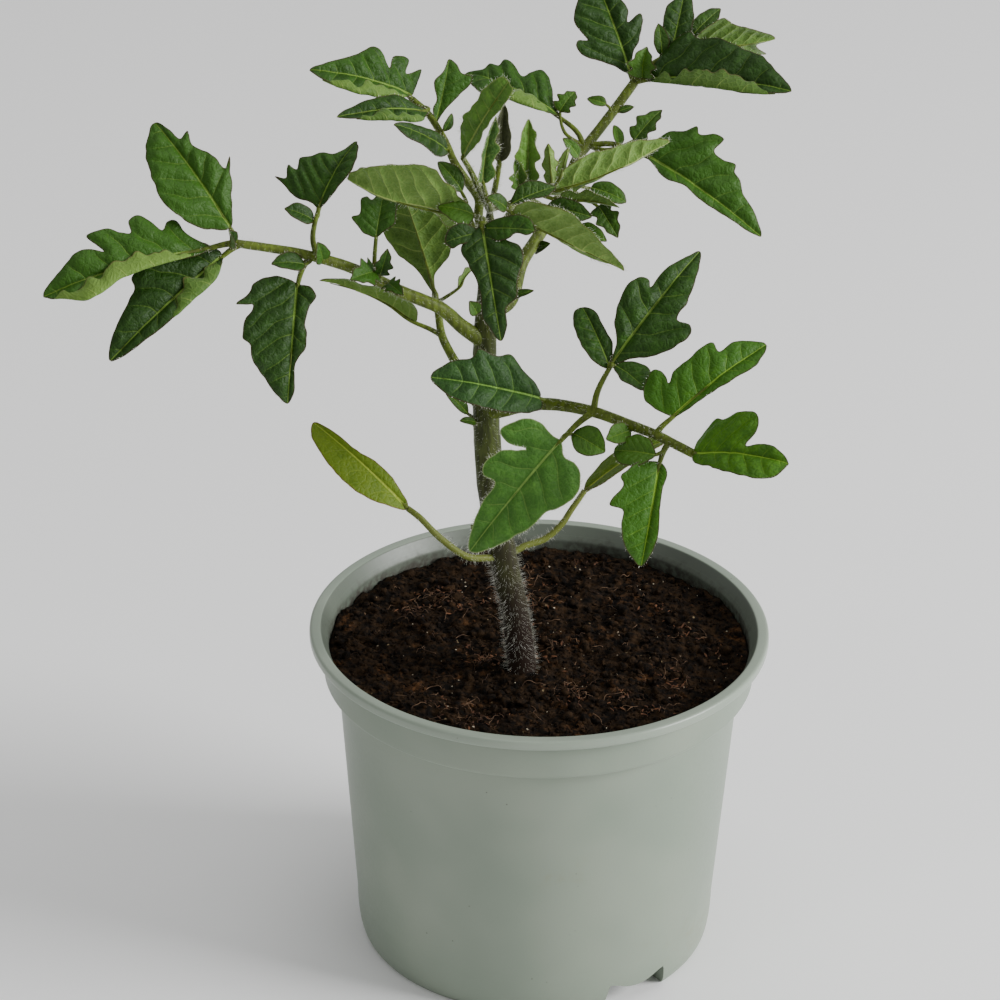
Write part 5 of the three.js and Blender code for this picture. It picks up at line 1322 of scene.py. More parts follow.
    def net(self, line: Array) -> tuple[Array, Array]:
        """Fills the outline with triangles.

        Args:
            line: The outline.

        Returns:
            Points on the blade, and triangles.
        """
        pitch = self.relief.pitch
        low, high = line.min(0), line.max(0)
        rows = int((high[1] - low[1]) / (pitch * self.row_height)) + 1
        columns = int((high[0] - low[0]) / pitch) + 1
        i, j = np.meshgrid(np.arange(rows), np.arange(columns), indexing="ij")
        grid = np.column_stack([
            (low[0] + (j + 0.5 * (i % 2)) * pitch).ravel(), (low[1] + i * pitch * self.row_height).ravel(),
        ])
        grid = grid[np.abs(grid[:, 1]) > pitch * self.rib_gap]
        grid = grid[inside_line(grid, line)]
        grid = grid[distance_to_line(grid, line) > pitch * self.margin_gap]
        stations = np.arange(pitch, self.length - pitch * 0.6, pitch)
        rib = np.column_stack([stations, np.zeros(len(stations))])
        rib = rib[inside_line(rib, line)]
        points = np.vstack([line, grid, rib])
        count = len(line)
        edges = [(k, (k + 1) % count) for k in range(count)]
        start = len(points) - len(rib)
        edges += [(k, k + 1) for k in range(start, len(points) - 1)]
        made = delaunay_2d_cdt([Vector(p) for p in points], edges, [list(range(count))], 1, 1e-5, True)
        flat = np.array([tuple(p) for p in made[0]])
        faces = np.array([face[:3] for face in made[2] if len(face) == 3])
        a, b, c = (flat[faces[:, k]] for k in range(3))
        area = (b[:, 0] - a[:, 0]) * (c[:, 1] - a[:, 1]) - (b[:, 1] - a[:, 1]) * (c[:, 0] - a[:, 0])
        faces[area > 0] = faces[area > 0][:, ::-1]
        return flat, faces[(np.abs(area) > 1e-9) & inside_line((a + b + c) / 3, line)]

    def weave(self, into: Weave, upper: int, under: int, tone: float) -> Array:
        """Adds both faces and the rim to a weave.

        Args:
            into: The weave.
            upper: Material number of the upper face.
            under: Material number of the underside.
            tone: Tone of this blade, from 0 to 1.

        Returns:
            Points along the margin in space, for hairs.
        """
        line = self.outline()
        flat, faces = self.net(line)
        margin = distance_to_line(flat, line)
        height, phase = self.height(flat, margin)
        least, rate = self.thin_edge
        half = self.relief.thickness / 2 * np.clip(least + margin / rate, least, 1)
        top = self.place(flat, height + half)
        bottom = self.place(flat, height - half)
        spacing = self.length / self.relief.veins * self.vein_spacing
        veins = np.column_stack([phase, np.full(len(flat), spacing), margin])
        facts = (tone, self.length)
        into.add(top, faces, upper, flat, veins, facts)
        into.add(bottom, faces[:, ::-1], under, flat, veins, facts)
        sides = np.concatenate([faces[:, [0, 1]], faces[:, [1, 2]], faces[:, [2, 0]]])
        known = {(int(a), int(b)) for a, b in sides}
        rim = np.array([(a, b) for a, b in known if (b, a) not in known])
        count = len(flat)
        a, b = rim[:, 0], rim[:, 1]
        used, strip = np.unique(quads(a, a + count, b + count, b), return_inverse=True)
        layers = ((top, bottom), (flat, flat), (veins, veins))
        both, maps, both_veins = (np.vstack(pair)[used] for pair in layers)
        into.add(both, strip.reshape(-1, 3), upper, maps, both_veins, facts)
        for roll in self.leaflet.rolls:
            self.roll(into, line, roll, (under, upper), facts)
        ring = line[::2]
        return self.place(ring, np.zeros(len(ring)))

    def roll(self, into: Weave, line: Array, roll: Roll, finishes: tuple[int, int], facts: Pair) -> None:
        """Adds a margin that is rolled in over the blade, so that its paler underside shows.

        Args:
            into: The weave.
            line: The blade's outline.
            roll: Which stretch of the margin is rolled, and how wide.
            finishes: Material numbers of the roll's outer and inner face.
            facts: Tone and length of the blade.
        """
        side, start, end, width = roll
        along = line[:, 0] / self.length
        edge = line[(line[:, 1] * side > 0) & (along > start) & (along < end)]
        edge = edge[np.argsort(edge[:, 0] + np.arange(len(edge)) * 1e-6)]
        share = np.linspace(0, 1, len(edge))
        taper = np.sin(math.pi * np.clip(share, 0.01, 0.99)) ** 0.6
        scale = self.roll_scale
        wave = np.array([noise.noise(Vector((x * scale, side * 5.0, self.seed))) for x in edge[:, 0]])
        reach = width * taper * (self.roll_reach[0] + self.roll_reach[1] * wave)
        steps = len(ROLL_PROFILE)
        rows = []
        for depth, lift in ROLL_PROFILE:
            for inner in (0.0, ROLL_THICKNESS):
                inward = np.where(depth > 0, depth * reach, depth * taper)
                flat = np.column_stack([edge[:, 0], edge[:, 1] - side * (inward + inner * (depth <= 0))])
                high = (lift * (1 + self.roll_lift * wave) - inner) * taper
                unrolled = np.column_stack([flat[:, 0], flat[:, 1] + side * 2 * inward])
                rows.append((self.place(flat, high), unrolled))
        order = [2 * k for k in range(steps)] + [2 * k + 1 for k in range(steps - 1, -1, -1)]
        points = np.stack([rows[k][0] for k in order], axis=1)
        maps = np.stack([rows[k][1] for k in order], axis=1)
        count, ring = points.shape[:2]
        i, j = np.meshgrid(np.arange(count - 1), np.arange(ring), indexing="ij")
        a, b = (i * ring + j).ravel(), (i * ring + (j + 1) % ring).ravel()
        faces = quads(a, b, b + ring, a + ring)
        outer = np.tile(np.arange(ring) < steps - 1, 2 * (count - 1))
        fan = np.arange(1, ring - 1)
        last = (count - 1) * ring
        start_cap = np.stack([fan * 0, fan + 1, fan], 1)
        end_cap = np.stack([fan * 0 + last, fan + last, fan + last + 1], 1)
        faces = np.concatenate([faces, start_cap, end_cap])
        outer = np.concatenate([outer, np.ones(2 * len(fan), bool)])
        x, y, z = (points.reshape(-1, 3)[faces[:, k]] - points[0, 0] for k in range(3))
        if (x * np.cross(y, z)).sum() < 0:
            faces = faces[:, ::-1]
        to_edge = np.linspace(self.roll_inside, 0, steps)
        margin = np.tile(np.concatenate([to_edge, to_edge[::-1]]), count)
        spacing = self.length / self.relief.veins * self.vein_spacing
        flat_map = maps.reshape(-1, 2)
        swept = flat_map[:, 0] - np.abs(flat_map[:, 1]) * self.relief.sweep
        phase = swept / self.length * self.relief.veins
        veins = np.column_stack([phase, np.full(len(phase), spacing), margin])
        for chosen, finish in ((outer, finishes[0]), (~outer, finishes[1])):
            used, kept = np.unique(faces[chosen], return_inverse=True)
            spots = points.reshape(-1, 3)[used]
            into.add(spots, kept.reshape(-1, 3), finish, flat_map[used], veins[used], facts)


# ---------------------------------------------------------------- hand-modelled pieces


def start_fresh() -> None:
    """Leaves edit mode and deselects everything, so that operators act on one piece."""
    if bpy.context.mode != "OBJECT":
        bpy.ops.object.mode_set(mode="OBJECT")
    bpy.ops.object.select_all(action="DESELECT")


def take(piece: bpy.types.Object) -> None:
    """Makes one object the active and only selected one."""
    start_fresh()
    piece.select_set(True)
    bpy.context.view_layer.objects.active = piece


def apply_place(piece: bpy.types.Object) -> None:
    """Moves an object's own place, turn and size into its mesh."""
    take(piece)
    bpy.ops.object.transform_apply(location=True, rotation=True, scale=True)


def turned(profile: Sequence[Pair], steps: int, name: str) -> bpy.types.Object:
    """Spins a profile about the Z axis.

    Args:
        profile: Radii and heights in millimetres, from axis to axis.
        steps: Steps of the full turn.
        name: Name of the new object.

    Returns:
        The turned object.
    """
    start_fresh()
    bpy.ops.mesh.primitive_plane_add(size=0.01)
    piece = bpy.context.active_object
    piece.name = name
    bpy.ops.object.mode_set(mode="EDIT")
    bpy.ops.mesh.select_mode(type="VERT")
    bpy.ops.mesh.select_all(action="SELECT")
    bpy.ops.mesh.merge(type="CENTER")
    bpy.ops.transform.translate(value=(profile[0][0] * MM, 0, profile[0][1] * MM))
    for (radius, height), (next_radius, next_height) in zip(profile, profile[1:]):
        move = ((next_radius - radius) * MM, 0, (next_height - height) * MM)
        bpy.ops.mesh.extrude_vertices_move(TRANSFORM_OT_translate={"value": move})
    bpy.ops.mesh.select_all(action="SELECT")
    bpy.ops.mesh.spin(steps=steps, angle=FULL_TURN, center=(0, 0, 0), axis=(0, 0, 1))
    bpy.ops.mesh.select_all(action="SELECT")
    bpy.ops.mesh.remove_doubles(threshold=2e-6)
    bpy.ops.mesh.normals_make_consistent(inside=False)
    bpy.ops.object.mode_set(mode="OBJECT")
    return piece


def eased(bends: Sequence[Triple], steps: int = 5) -> list[Pair]:
    """A profile whose corners are rounded.

    Args:
        bends: Radius, height and rounding of each corner, in millimetres.
        steps: Points of each rounding.

    Returns:
        The points of the profile.
    """
    points: list[Pair] = []
    most = 0.48  # share of a side that one rounding may take
    for i, (radius, height, size) in enumerate(bends):
        here = np.array((radius, height))
        if size <= 0 or i in (0, len(bends) - 1):
            points.append((radius, height))
            continue
        back = np.array(bends[i - 1][:2]) - here
        ahead = np.array(bends[i + 1][:2]) - here
        reach = min(size, np.linalg.norm(back) * most, np.linalg.norm(ahead) * most)
        start = here + back / np.linalg.norm(back) * reach
        end = here + ahead / np.linalg.norm(ahead) * reach
        for k in range(steps + 1):
            t = k / steps
            spot = start * (1 - t) ** 2 + here * 2 * t * (1 - t) + end * t ** 2
            points.append((float(spot[0]), float(spot[1])))
    return points


@dataclass
class Pot:
    """The nursery pot: rolled lip, wide band, tapered wall and a foot with notches and drain holes."""

    height: float = 90.5
    rim: float = 60.0
    lip_height: float = 2.8
    lip_inner: float = 57.0
    wall: float = 1.4
    band: float = 56.4
    band_bottom: float = 77.4
    body_top: float = 52.6
    body_low: float = 47.5
    turn_in: float = 12.0
    foot: float = 45.3
    foot_inner: float = 41.5
    boss: float = 18.0
    recess: float = 7.7
    floor: float = 1.8
    floor_top: float = 9.5
    floor_radius: float = 45.2
    notch: Triple = (20.0, 12.0, 7.5)  # width, depth and height
    notch_taper: float = 0.86
    notch_corner: float = 1.6
    notch_angles: Pair = (35.5, 215.5)
    drain_holes: int = 6
    drain_radius: float = 3.2
    drain_circle: float = 30.0
    drain_sides: int = 28
    segments: int = 200
    smooth_below: float = 34.0  # degrees between faces

    def profile(self) -> list[Pair]:
        """The wall's section, from the middle of the underside round to the middle of the inside.

        Returns:
            Its points, as radii and heights.
        """
        lip_low = self.height - self.lip_height
        bends = [
            (0, 0, 0), (self.boss, 0, 1), (self.boss + 0.6, self.recess, 1.2),
            (self.foot_inner - 0.6, self.recess, 1.4), (self.foot_inner, 0, 0.7), (self.foot, 0, 0.7),
        ]
        turn_steps = 8
        for k in range(turn_steps + 1):
            angle = math.pi / 2 * (1 - k / turn_steps)
            radius = self.foot + (self.body_low - self.foot) * math.cos(angle)
            bends.append((radius, self.turn_in * (1 - math.sin(angle)) + 0.4, 0.3))
        bends += [
            (self.body_top, self.band_bottom - 0.5, 1.1), (self.band - 0.2, self.band_bottom, 1.2),
            (self.band, lip_low - 0.5, 0.5), (self.band + 0.5, lip_low, 0.5), (self.rim, lip_low, 1.1),
            (self.rim, self.height, 0.95), (self.lip_inner, self.height, 0.45),
            (self.band - self.wall, lip_low - 1.2, 0.5),
            (self.band - self.wall, self.band_bottom + self.wall, 1.5),
            (self.body_top - self.wall, self.band_bottom - 2.4, 1.5),
            (self.body_low - self.wall, self.turn_in, 3),
            (self.floor_radius, self.floor_top, 1), (self.boss - 0.8, self.floor_top, 1),
            (self.boss - 1.4, self.floor, 0.5), (0, self.floor, 0),
        ]
        return eased(bends)

    def cut(self, piece: bpy.types.Object, cutter: bpy.types.Object) -> None:
        """Takes one object out of another, and deletes it.

        Args:
            piece: The object that is cut.
            cutter: The object that is taken out of it.
        """
        take(piece)
        modifier = piece.modifiers.new("cut", "BOOLEAN")
        modifier.operation = "DIFFERENCE"
        modifier.solver = "EXACT"
        modifier.object = cutter
        bpy.ops.object.modifier_apply(modifier=modifier.name)
        bpy.data.objects.remove(cutter)

    def notch_cutter(self, angle: float) -> bpy.types.Object:
        """The arch that is cut through the foot.

        Args:
            angle: Degrees from the front.

        Returns:
            The arch as a solid.
        """
        turn = math.radians(angle)
        width, depth, height = self.notch
        start_fresh()
        middle = self.foot_inner * MM
        bpy.ops.mesh.primitive_cube_add(
            size=1, location=(math.sin(turn) * middle, -math.cos(turn) * middle, (height - 1) / 2 * MM),
            rotation=(0, 0, turn), scale=(width * MM, depth * MM, (height + 1) * MM),
        )
        cutter = bpy.context.active_object
        centre = tuple(cutter.matrix_world.translation)
        bpy.ops.object.mode_set(mode="EDIT")
        bpy.ops.mesh.select_mode(type="FACE")
        bpy.ops.mesh.select_all(action="DESELECT")
        bpy.ops.object.mode_set(mode="OBJECT")
        for face in cutter.data.polygons:
            face.select = face.normal.z > 0.5
        bpy.ops.object.mode_set(mode="EDIT")
        bpy.ops.transform.resize(value=(self.notch_taper, self.notch_taper, 1), center_override=centre)
        bpy.ops.mesh.bevel(offset=self.notch_corner * MM, segments=5, affect="EDGES")
        bpy.ops.object.mode_set(mode="OBJECT")
        return cutter

    def build(self) -> bpy.types.Object:
        """Models the pot and gives it its plastic.

        Returns:
            The pot.
        """
        pot = turned(self.profile(), self.segments, "pot_shell")
        for angle in self.notch_angles:
            self.cut(pot, self.notch_cutter(angle))
        out = self.drain_circle
        for k in range(self.drain_holes):
            angle = FULL_TURN * (k + 0.5) / self.drain_holes
            start_fresh()
            bpy.ops.mesh.primitive_cylinder_add(
                vertices=self.drain_sides, radius=self.drain_radius * MM, depth=30 * MM,
                location=(out * math.cos(angle) * MM, out * math.sin(angle) * MM, 0),
            )
            self.cut(pot, bpy.context.active_object)
        take(pot)
        bpy.ops.object.shade_smooth_by_angle(angle=math.radians(self.smooth_below))
        pot.data.materials.clear()
        pot.data.materials.append(PotFinish().material())
        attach(pot, "root")
        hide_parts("pot")
        return pot


GRAIN, PALE_BITS, FIBRES, CHIPS = range(4)  # finishes of the loose soil


@dataclass
class Soil:
    """The peat mix in the pot: a lumpy surface with crumbs, bark bits and fibres on it."""

    top: float = 85.4
    fall: float = 1.2
    sunk: float = 0.3
    radius: float = 54.7
    low_radius: float = 50.6
    low: float = 74.0
    rings: int = 120
    segments: int = 380
    layers: tuple[Triple, ...] = ((0.11, 3.1, 1.3), (0.34, 7.7, 0.8), (0.95, 1.9, 0.55))
    grit: Triple = (2.3, 5.3, 0.5)  # scale, place in the noise and height, as in each layer
    stem_at: Pair = (-4.4, -16.0)
    mound: Pair = (2.2, 8.5)  # height and radius round the stem
    margin: float = 7.0  # heaps and lone fibres keep this far from the wall
    shapes: int = 6
    large_shapes: int = 2
    large: int = 300  # large crumbs
    large_sizes: Pair = (0.9, 1.9)
    crumbs: int = 6500  # with the large ones
    small_sizes: Triple = (0.22, 0.75, 2.2)  # least, range, and how much rarer the larger ones are
    sink: Pair = (-0.15, 0.3)  # how far a crumb's middle lies over the surface, in sizes
    pale_share: float = 0.035  # of the crumbs that are small enough
    pale_below: float = 0.42
    fibres: int = 210
    fibre_lengths: Pair = (1.5, 7)
    fibre_girths: Pair = (0.035, 0.1)
    chips: int = 420
    chip_form: Triple = (1.0, 0.42, 0.26)
    chip_sizes: Pair = (0.35, 1.15)
    heaps: int = 30
    spread: Pair = (2.6, 2.2)  # of the chips and the fibres round a heap
    seed: int = 11

    def height(self, x: float, y: float) -> float:
        """The surface's height over the pot's underside.

        Args:
            x: Place to the right of the pot's axis, in millimetres.
            y: Place behind it.

        Returns:
            The height in millimetres.
        """
        reach = min(1.0, math.hypot(x, y) / self.radius)
        lumps = 0.0
        for scale, layer, size in self.layers:
            lumps += noise.noise(Vector((x * scale, y * scale, layer))) * size
        scale, layer, size = self.grit
        lumps += abs(noise.noise(Vector((x * scale, y * scale, layer)))) * size
        from_stem = math.hypot(x - self.stem_at[0], y - self.stem_at[1])
        mound = self.mound[0] * math.exp(-((from_stem / self.mound[1]) ** 2))
        wall = 0.9 * max(0.0, reach - 0.9) * 10 * noise.noise(Vector((x * 0.2, y * 0.2, 9.0)))
        return self.top - self.fall * reach ** 3 + lumps + mound + wall - self.sunk

    def surface(self) -> bpy.types.Object:
        """The body of soil: rings drawn in from the wall, then raised into lumps.

        Returns:
            The body.
        """
        start_fresh()
        bpy.ops.mesh.primitive_circle_add(
            vertices=self.segments, radius=self.low_radius * MM, location=(0, 0, self.low * MM),
            fill_type="NGON",
        )
        piece = bpy.context.active_object
        piece.name = "soil_bed"
        apply_place(piece)
        bpy.ops.object.mode_set(mode="EDIT")
        bpy.ops.mesh.select_mode(type="FACE")
        bpy.ops.mesh.select_all(action="SELECT")
        rise = (0, 0, (self.top - self.low) * MM)
        bpy.ops.mesh.extrude_region_move(TRANSFORM_OT_translate={"value": rise})
        grow = self.radius / self.low_radius
        bpy.ops.transform.resize(value=(grow, grow, 1), center_override=(0, 0, 0))
        step = self.radius / (self.rings + 1)
        for _ in range(self.rings):
            bpy.ops.mesh.inset(thickness=step * MM, depth=0)
        bpy.ops.mesh.poke()
        bpy.ops.mesh.select_all(action="SELECT")
        bpy.ops.mesh.normals_make_consistent(inside=False)
        bpy.ops.object.mode_set(mode="OBJECT")
        for vertex in piece.data.vertices:
            if vertex.co.z > (self.top - 0.5) * MM:
                vertex.co.z = self.height(vertex.co.x / MM, vertex.co.y / MM) * MM
        take(piece)
        bpy.ops.object.shade_smooth()
        return piece

    def spot(self, dice: random.Random, reach: float) -> Pair:
        """A random place on the surface.

        Args:
            dice: Seeded random numbers.
            reach: The radius that it lies within, in millimetres.

        Returns:
            The place.
        """
        radius = reach * math.sqrt(dice.random())
        angle = dice.uniform(0, FULL_TURN)
        return radius * math.cos(angle), radius * math.sin(angle)

    def grain_shapes(self, dice: random.Random) -> list[tuple[Array, Array]]:
        """Models a few knobbly grains that all crumbs are copies of.

        Args:
            dice: Seeded random numbers.

        Returns:
            Points and triangles of each grain, the large ones first.
        """
        shapes = []
        for number in range(self.shapes):
            start_fresh()
            finer = 2 if number < self.large_shapes else 1
            bpy.ops.mesh.primitive_ico_sphere_add(subdivisions=finer, radius=1)
            grain = bpy.context.active_object
            points = np.array([tuple(v.co) for v in grain.data.vertices])
            faces = np.array([tuple(p.vertices) for p in grain.data.polygons])
            knobs = np.array([1 + 0.55 * noise.noise(Vector(tuple(p * 1.3 + number * 5))) for p in points])
            stretch = np.array((1.0, dice.uniform(0.55, 0.85), dice.uniform(0.4, 0.75)))
            shapes.append((points * knobs[:, None] * stretch, faces))
            bpy.data.objects.remove(grain)
        return shapes

    def loose(self) -> bpy.types.Object:
        """Scatters crumbs, pale flecks, bark chips and fibres on the bed.

        Returns:
            All of them as one object.
        """
        dice = random.Random(self.seed)
        weave = Weave()
        shapes = self.grain_shapes(dice)
        small_shapes = self.shapes - self.large_shapes
        least, reach, rarer = self.small_sizes
        for number in range(self.crumbs):
            large = number < self.large
            first, choice = (0, self.large_shapes) if large else (self.large_shapes, small_shapes)
            points, faces = shapes[first + dice.randrange(choice)]
            x, y = self.spot(dice, self.radius - 1.2)
            size = dice.uniform(*self.large_sizes) if large else least + reach * dice.random() ** rarer
            turn = Vector((dice.gauss(0, 1), dice.gauss(0, 1), dice.gauss(0, 1))).to_track_quat("Z", "Y")
            turned_points = points * size @ np.array(turn.to_matrix())
            lift = self.height(x, y) + size * dice.uniform(*self.sink)
            pale = dice.random() < self.pale_share and size < self.pale_below
            into_place = turned_points + np.array((x, y, lift))
            weave.add(into_place, faces, PALE_BITS if pale else GRAIN, smooth=large)
        heaps = [self.spot(dice, self.radius - self.margin) for _ in range(self.heaps)]
        for number in range(self.chips):
            points, faces = shapes[self.large_shapes + dice.randrange(small_shapes)]
            x, y = (middle + dice.gauss(0, self.spread[0]) for middle in heaps[number % self.heaps])
            if math.hypot(x, y) > self.radius - 1.5:
                continue
            turn = Vector((dice.gauss(0, 1), dice.gauss(0, 1), dice.gauss(0, 0.4))).to_track_quat("X", "Z")
            size = np.array(self.chip_form) * dice.uniform(*self.chip_sizes)
            lift = self.height(x, y) + dice.uniform(0.1, 0.5)
            into_place = points * size @ np.array(turn.to_matrix()).T + np.array((x, y, lift))
            weave.add(into_place, faces, CHIPS, smooth=False)
        for number in range(self.fibres):
            lone = number % 3 == 0
            near = self.spot(dice, self.radius - self.margin) if lone else heaps[number % self.heaps]
            self.add_fibre(weave, near, dice)
        grain = SoilFinish("soil_grain").material()
        return weave.build("soil_crumbs", [grain, FLECK.material(), FIBRE.material(), BARK.material()])

    def add_fibre(self, weave: Weave, near: Pair, dice: random.Random) -> None:
        """Adds one curled fibre that lies over the crumbs.

        Args:
            weave: The weave that takes it.
            near: The place that it starts near.
            dice: Seeded random numbers.
        """
        x, y = (middle + dice.gauss(0, self.spread[1]) for middle in near)
        heading = dice.uniform(0, FULL_TURN)
        length = dice.uniform(*self.fibre_lengths)
        points = []
        spans = 5
        for k in range(spans + 1):
            bow = dice.uniform(-0.2, 0.7) * (0 if k in (0, spans) else 1)
            points.append((x, y, self.height(x, y) + 0.35 + bow))
            heading += dice.gauss(0, 0.5)
            x += math.cos(heading) * length / spans
            y += math.sin(heading) * length / spans
        thick = dice.uniform(*self.fibre_girths)
        Tube(Path(points, 6), lambda s: thick * (1.05 - 0.5 * s), 14, 4).weave(weave, FIBRES)

    def build(self) -> list[bpy.types.Object]:
        """Models the soil and what lies on it.

        Returns:
            The body of soil and the loose bits.
        """
        bed = self.surface()
        bed.data.materials.clear()
        bed.data.materials.append(SoilFinish().material())
        loose = self.loose()
        for piece in (bed, loose):
            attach(piece, "root")
            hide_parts("soil")
        return [bed, loose]


# ---------------------------------------------------------------- the plant


LOOKS: list[Look] = list(Look)
UNDER, STALK, HAIRS = range(len(LOOKS), len(LOOKS) + 3)


@dataclass
class Wardrobe:
    """The plant's finishes, each made once and shared by its pieces."""

    made: list[bpy.types.Material] = field(default_factory=list)

    def materials(self) -> list[bpy.types.Material]:
        """All finishes, in the order of their numbers.

        Returns:
            The looks of the blades, then the underside, the stalk and the hairs.
        """
        if not self.made:
            self.made = [BLADES[look].material() for look in LOOKS]
            self.made += [UNDERSIDE.material(), STALK_SKIN.material(), HAIR.material()]
        return self.made

    def dress(self, weave: Weave, name: str, first: bpy.types.Material | None = None) -> bpy.types.Object:
        """Builds a weave and keeps only the finishes that it shows.

        Args:
            weave: The gathered triangles.
            name: Name of the object.
            first: A finish that stands in for the stalk's own.

        Returns:
            The object.
        """
        materials = list(self.materials())
        if first:
            materials[STALK] = first
        numbers = np.concatenate(weave.finish)
        used = sorted(set(numbers.tolist()))
        weave.finish = [np.searchsorted(used, numbers)]
        return weave.build(name, [materials[k] for k in used])


WARDROBE = Wardrobe()
FIRST_LEAF_SEED = 20


@dataclass
class Leaf:
    """A leaf: its stalk, and its leaflets with their own small stalks."""

    rib_stations: ClassVar[tuple[float, ...]] = (0.06, 0.3, 0.6, 0.9)  # shares of the blade's length
    rib_widths: ClassVar[tuple[float, ...]] = (0.85, 0.62, 0.42, 0.2)
    rib_growth: ClassVar[Pair] = (24.0, 0.35)  # a short blade's share of them: length / first + second
    samples: ClassVar[int] = 12  # of each span of a leaflet's stalk
    shortest_bend: ClassVar[float] = 1.5
    hairy: ClassVar[tuple[Look, ...]] = (Look.YOUNG, Look.PALE, Look.SOFT, Look.FURLED)
    swell: ClassVar[Pair] = (0.12, 0.1)  # of the stalk's foot: share of its radius and of its length

    row: LeafRow
    seed: int
    hairs_per_mm: float = 6.0

    def foot(self, leaflet: Leaflet, stalk: Path) -> Array:
        """Where a leaflet's own stalk starts.

        Args:
            leaflet: The leaflet.
            stalk: The leaf's stalk.

        Returns:
            The point.
        """
        for other in self.row.leaflets:
            if other.name == leaflet.on:
                return np.array(other.base, float)
        return stalk.knot(float(leaflet.on))

    def add_leaflet(self, weave: Weave, leaflet: Leaflet, foot: Array, seed: int) -> None:
        """Adds one leaflet to a weave.

        Args:
            weave: The weave.
            leaflet: Its row.
            foot: Where its stalk starts.
            seed: Start of its random numbers.
        """
        dice = random.Random(seed)
        blade = Blade(leaflet, seed)
        origin = blade.origin
        reach = float(np.linalg.norm(foot - origin))
        path = [tuple(foot)]
        if reach > self.shortest_bend:
            bend = origin - blade.along * reach / 3
            path.append(tuple(bend + (foot - bend) * 0.4))
        ribs = len(self.rib_stations)
        rib = np.array(self.rib_stations) * blade.length
        spots = blade.place(np.column_stack([rib, np.zeros(ribs)]), np.zeros(ribs))
        full, least = self.rib_growth
        widths = np.array(self.rib_widths) * min(1.0, blade.length / full + least)
        path += [tuple(p - blade.up * (w * 0.5 + 0.2)) for p, w in zip(spots, widths)]
        line = Path(path, self.samples)
        knots = [line.reach[self.samples * (len(path) - ribs + k)] / line.length for k in range(ribs)]
        stem_share = knots[0]
        radii = [leaflet.stem / 2, widths[0] / 2 + 0.1, *(widths[1:] / 2)]
        tube = Tube(line, lambda s: np.interp(s, [0.0, *knots], radii), 36, 8)
        tube.weave(weave, STALK)
        bare = max(reach, 1.0)
        tube.hairs(weave, HAIRS, int(self.hairs_per_mm * bare), (0.5, 1.3), dice, (0.0, stem_share))
        upper = LOOKS.index(leaflet.look)
        tone = dice.random()
        edge = blade.weave(weave, upper, upper if leaflet.look is Look.PALE else UNDER, tone)
        hairs_per_point, longest = (2.4, 1.5) if leaflet.look in self.hairy else (0.9, 0.8)
        count = int(len(edge) * hairs_per_point)
        roots = edge[[dice.randrange(len(edge)) for _ in range(count)]]
        out = unit(roots - (origin + blade.along * blade.length / 2))
        lean = np.array([[dice.gauss(0, 0.4) for _ in range(3)] for _ in range(count)])
        sizes = np.array([dice.uniform(0.4, longest) for _ in range(count)])
        add_hairs(weave, HAIRS, roots, unit(out + lean), sizes, 0.06)

    def gather(self, weave: Weave) -> None:
        """Adds the whole leaf to a weave.

        Args:
            weave: The weave.
        """
        stalk = Path(self.row.stalk)
        start, end = (girth / 2 for girth in self.row.girth)
        swell, span = self.swell[0] * start, self.swell[1]

        def radius(shares: Array) -> Array:
            """The stalk's radius, which swells to its foot."""
            return start + (end - start) * shares + swell * np.exp(-((shares / span) ** 2))

        tube = Tube(stalk, radius, 90, 12, 0.06, self.seed)
        tube.weave(weave, STALK)
        dice = random.Random(self.seed)
        tube.hairs(weave, HAIRS, int(self.hairs_per_mm * 1.6 * stalk.length), (0.6, 1.6), dice)
        for number, leaflet in enumerate(self.row.leaflets):
            self.add_leaflet(weave, leaflet, self.foot(leaflet, stalk), self.seed * 31 + number)

    def build(self, slot: str) -> bpy.types.Object:
        """Models the leaf in place of its CAD node.

        Args:
            slot: Its material slot; not used.

        Returns:
            The leaf.
        """
        weave = Weave()
        self.gather(weave)
        piece = WARDROBE.dress(weave, self.row.name + "_grown")
        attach(piece, "root")
        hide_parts(self.row.name)
        return piece


@dataclass
class GrowingTip:
    """The young leaves at the end of the stem, as one piece."""

    rows: tuple[LeafRow, ...]
    seed: int = 70
    hairs_per_mm: float = 14.0

    def build(self) -> bpy.types.Object:
        """Models the young leaves in place of their CAD node.

        Returns:
            The young leaves.
        """
        weave = Weave()
        for number, row in enumerate(self.rows):
            Leaf(row, self.seed + number, self.hairs_per_mm).gather(weave)
        piece = WARDROBE.dress(weave, "growing_tip_grown")
        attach(piece, "root")
        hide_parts("growing_tip")
        return piece


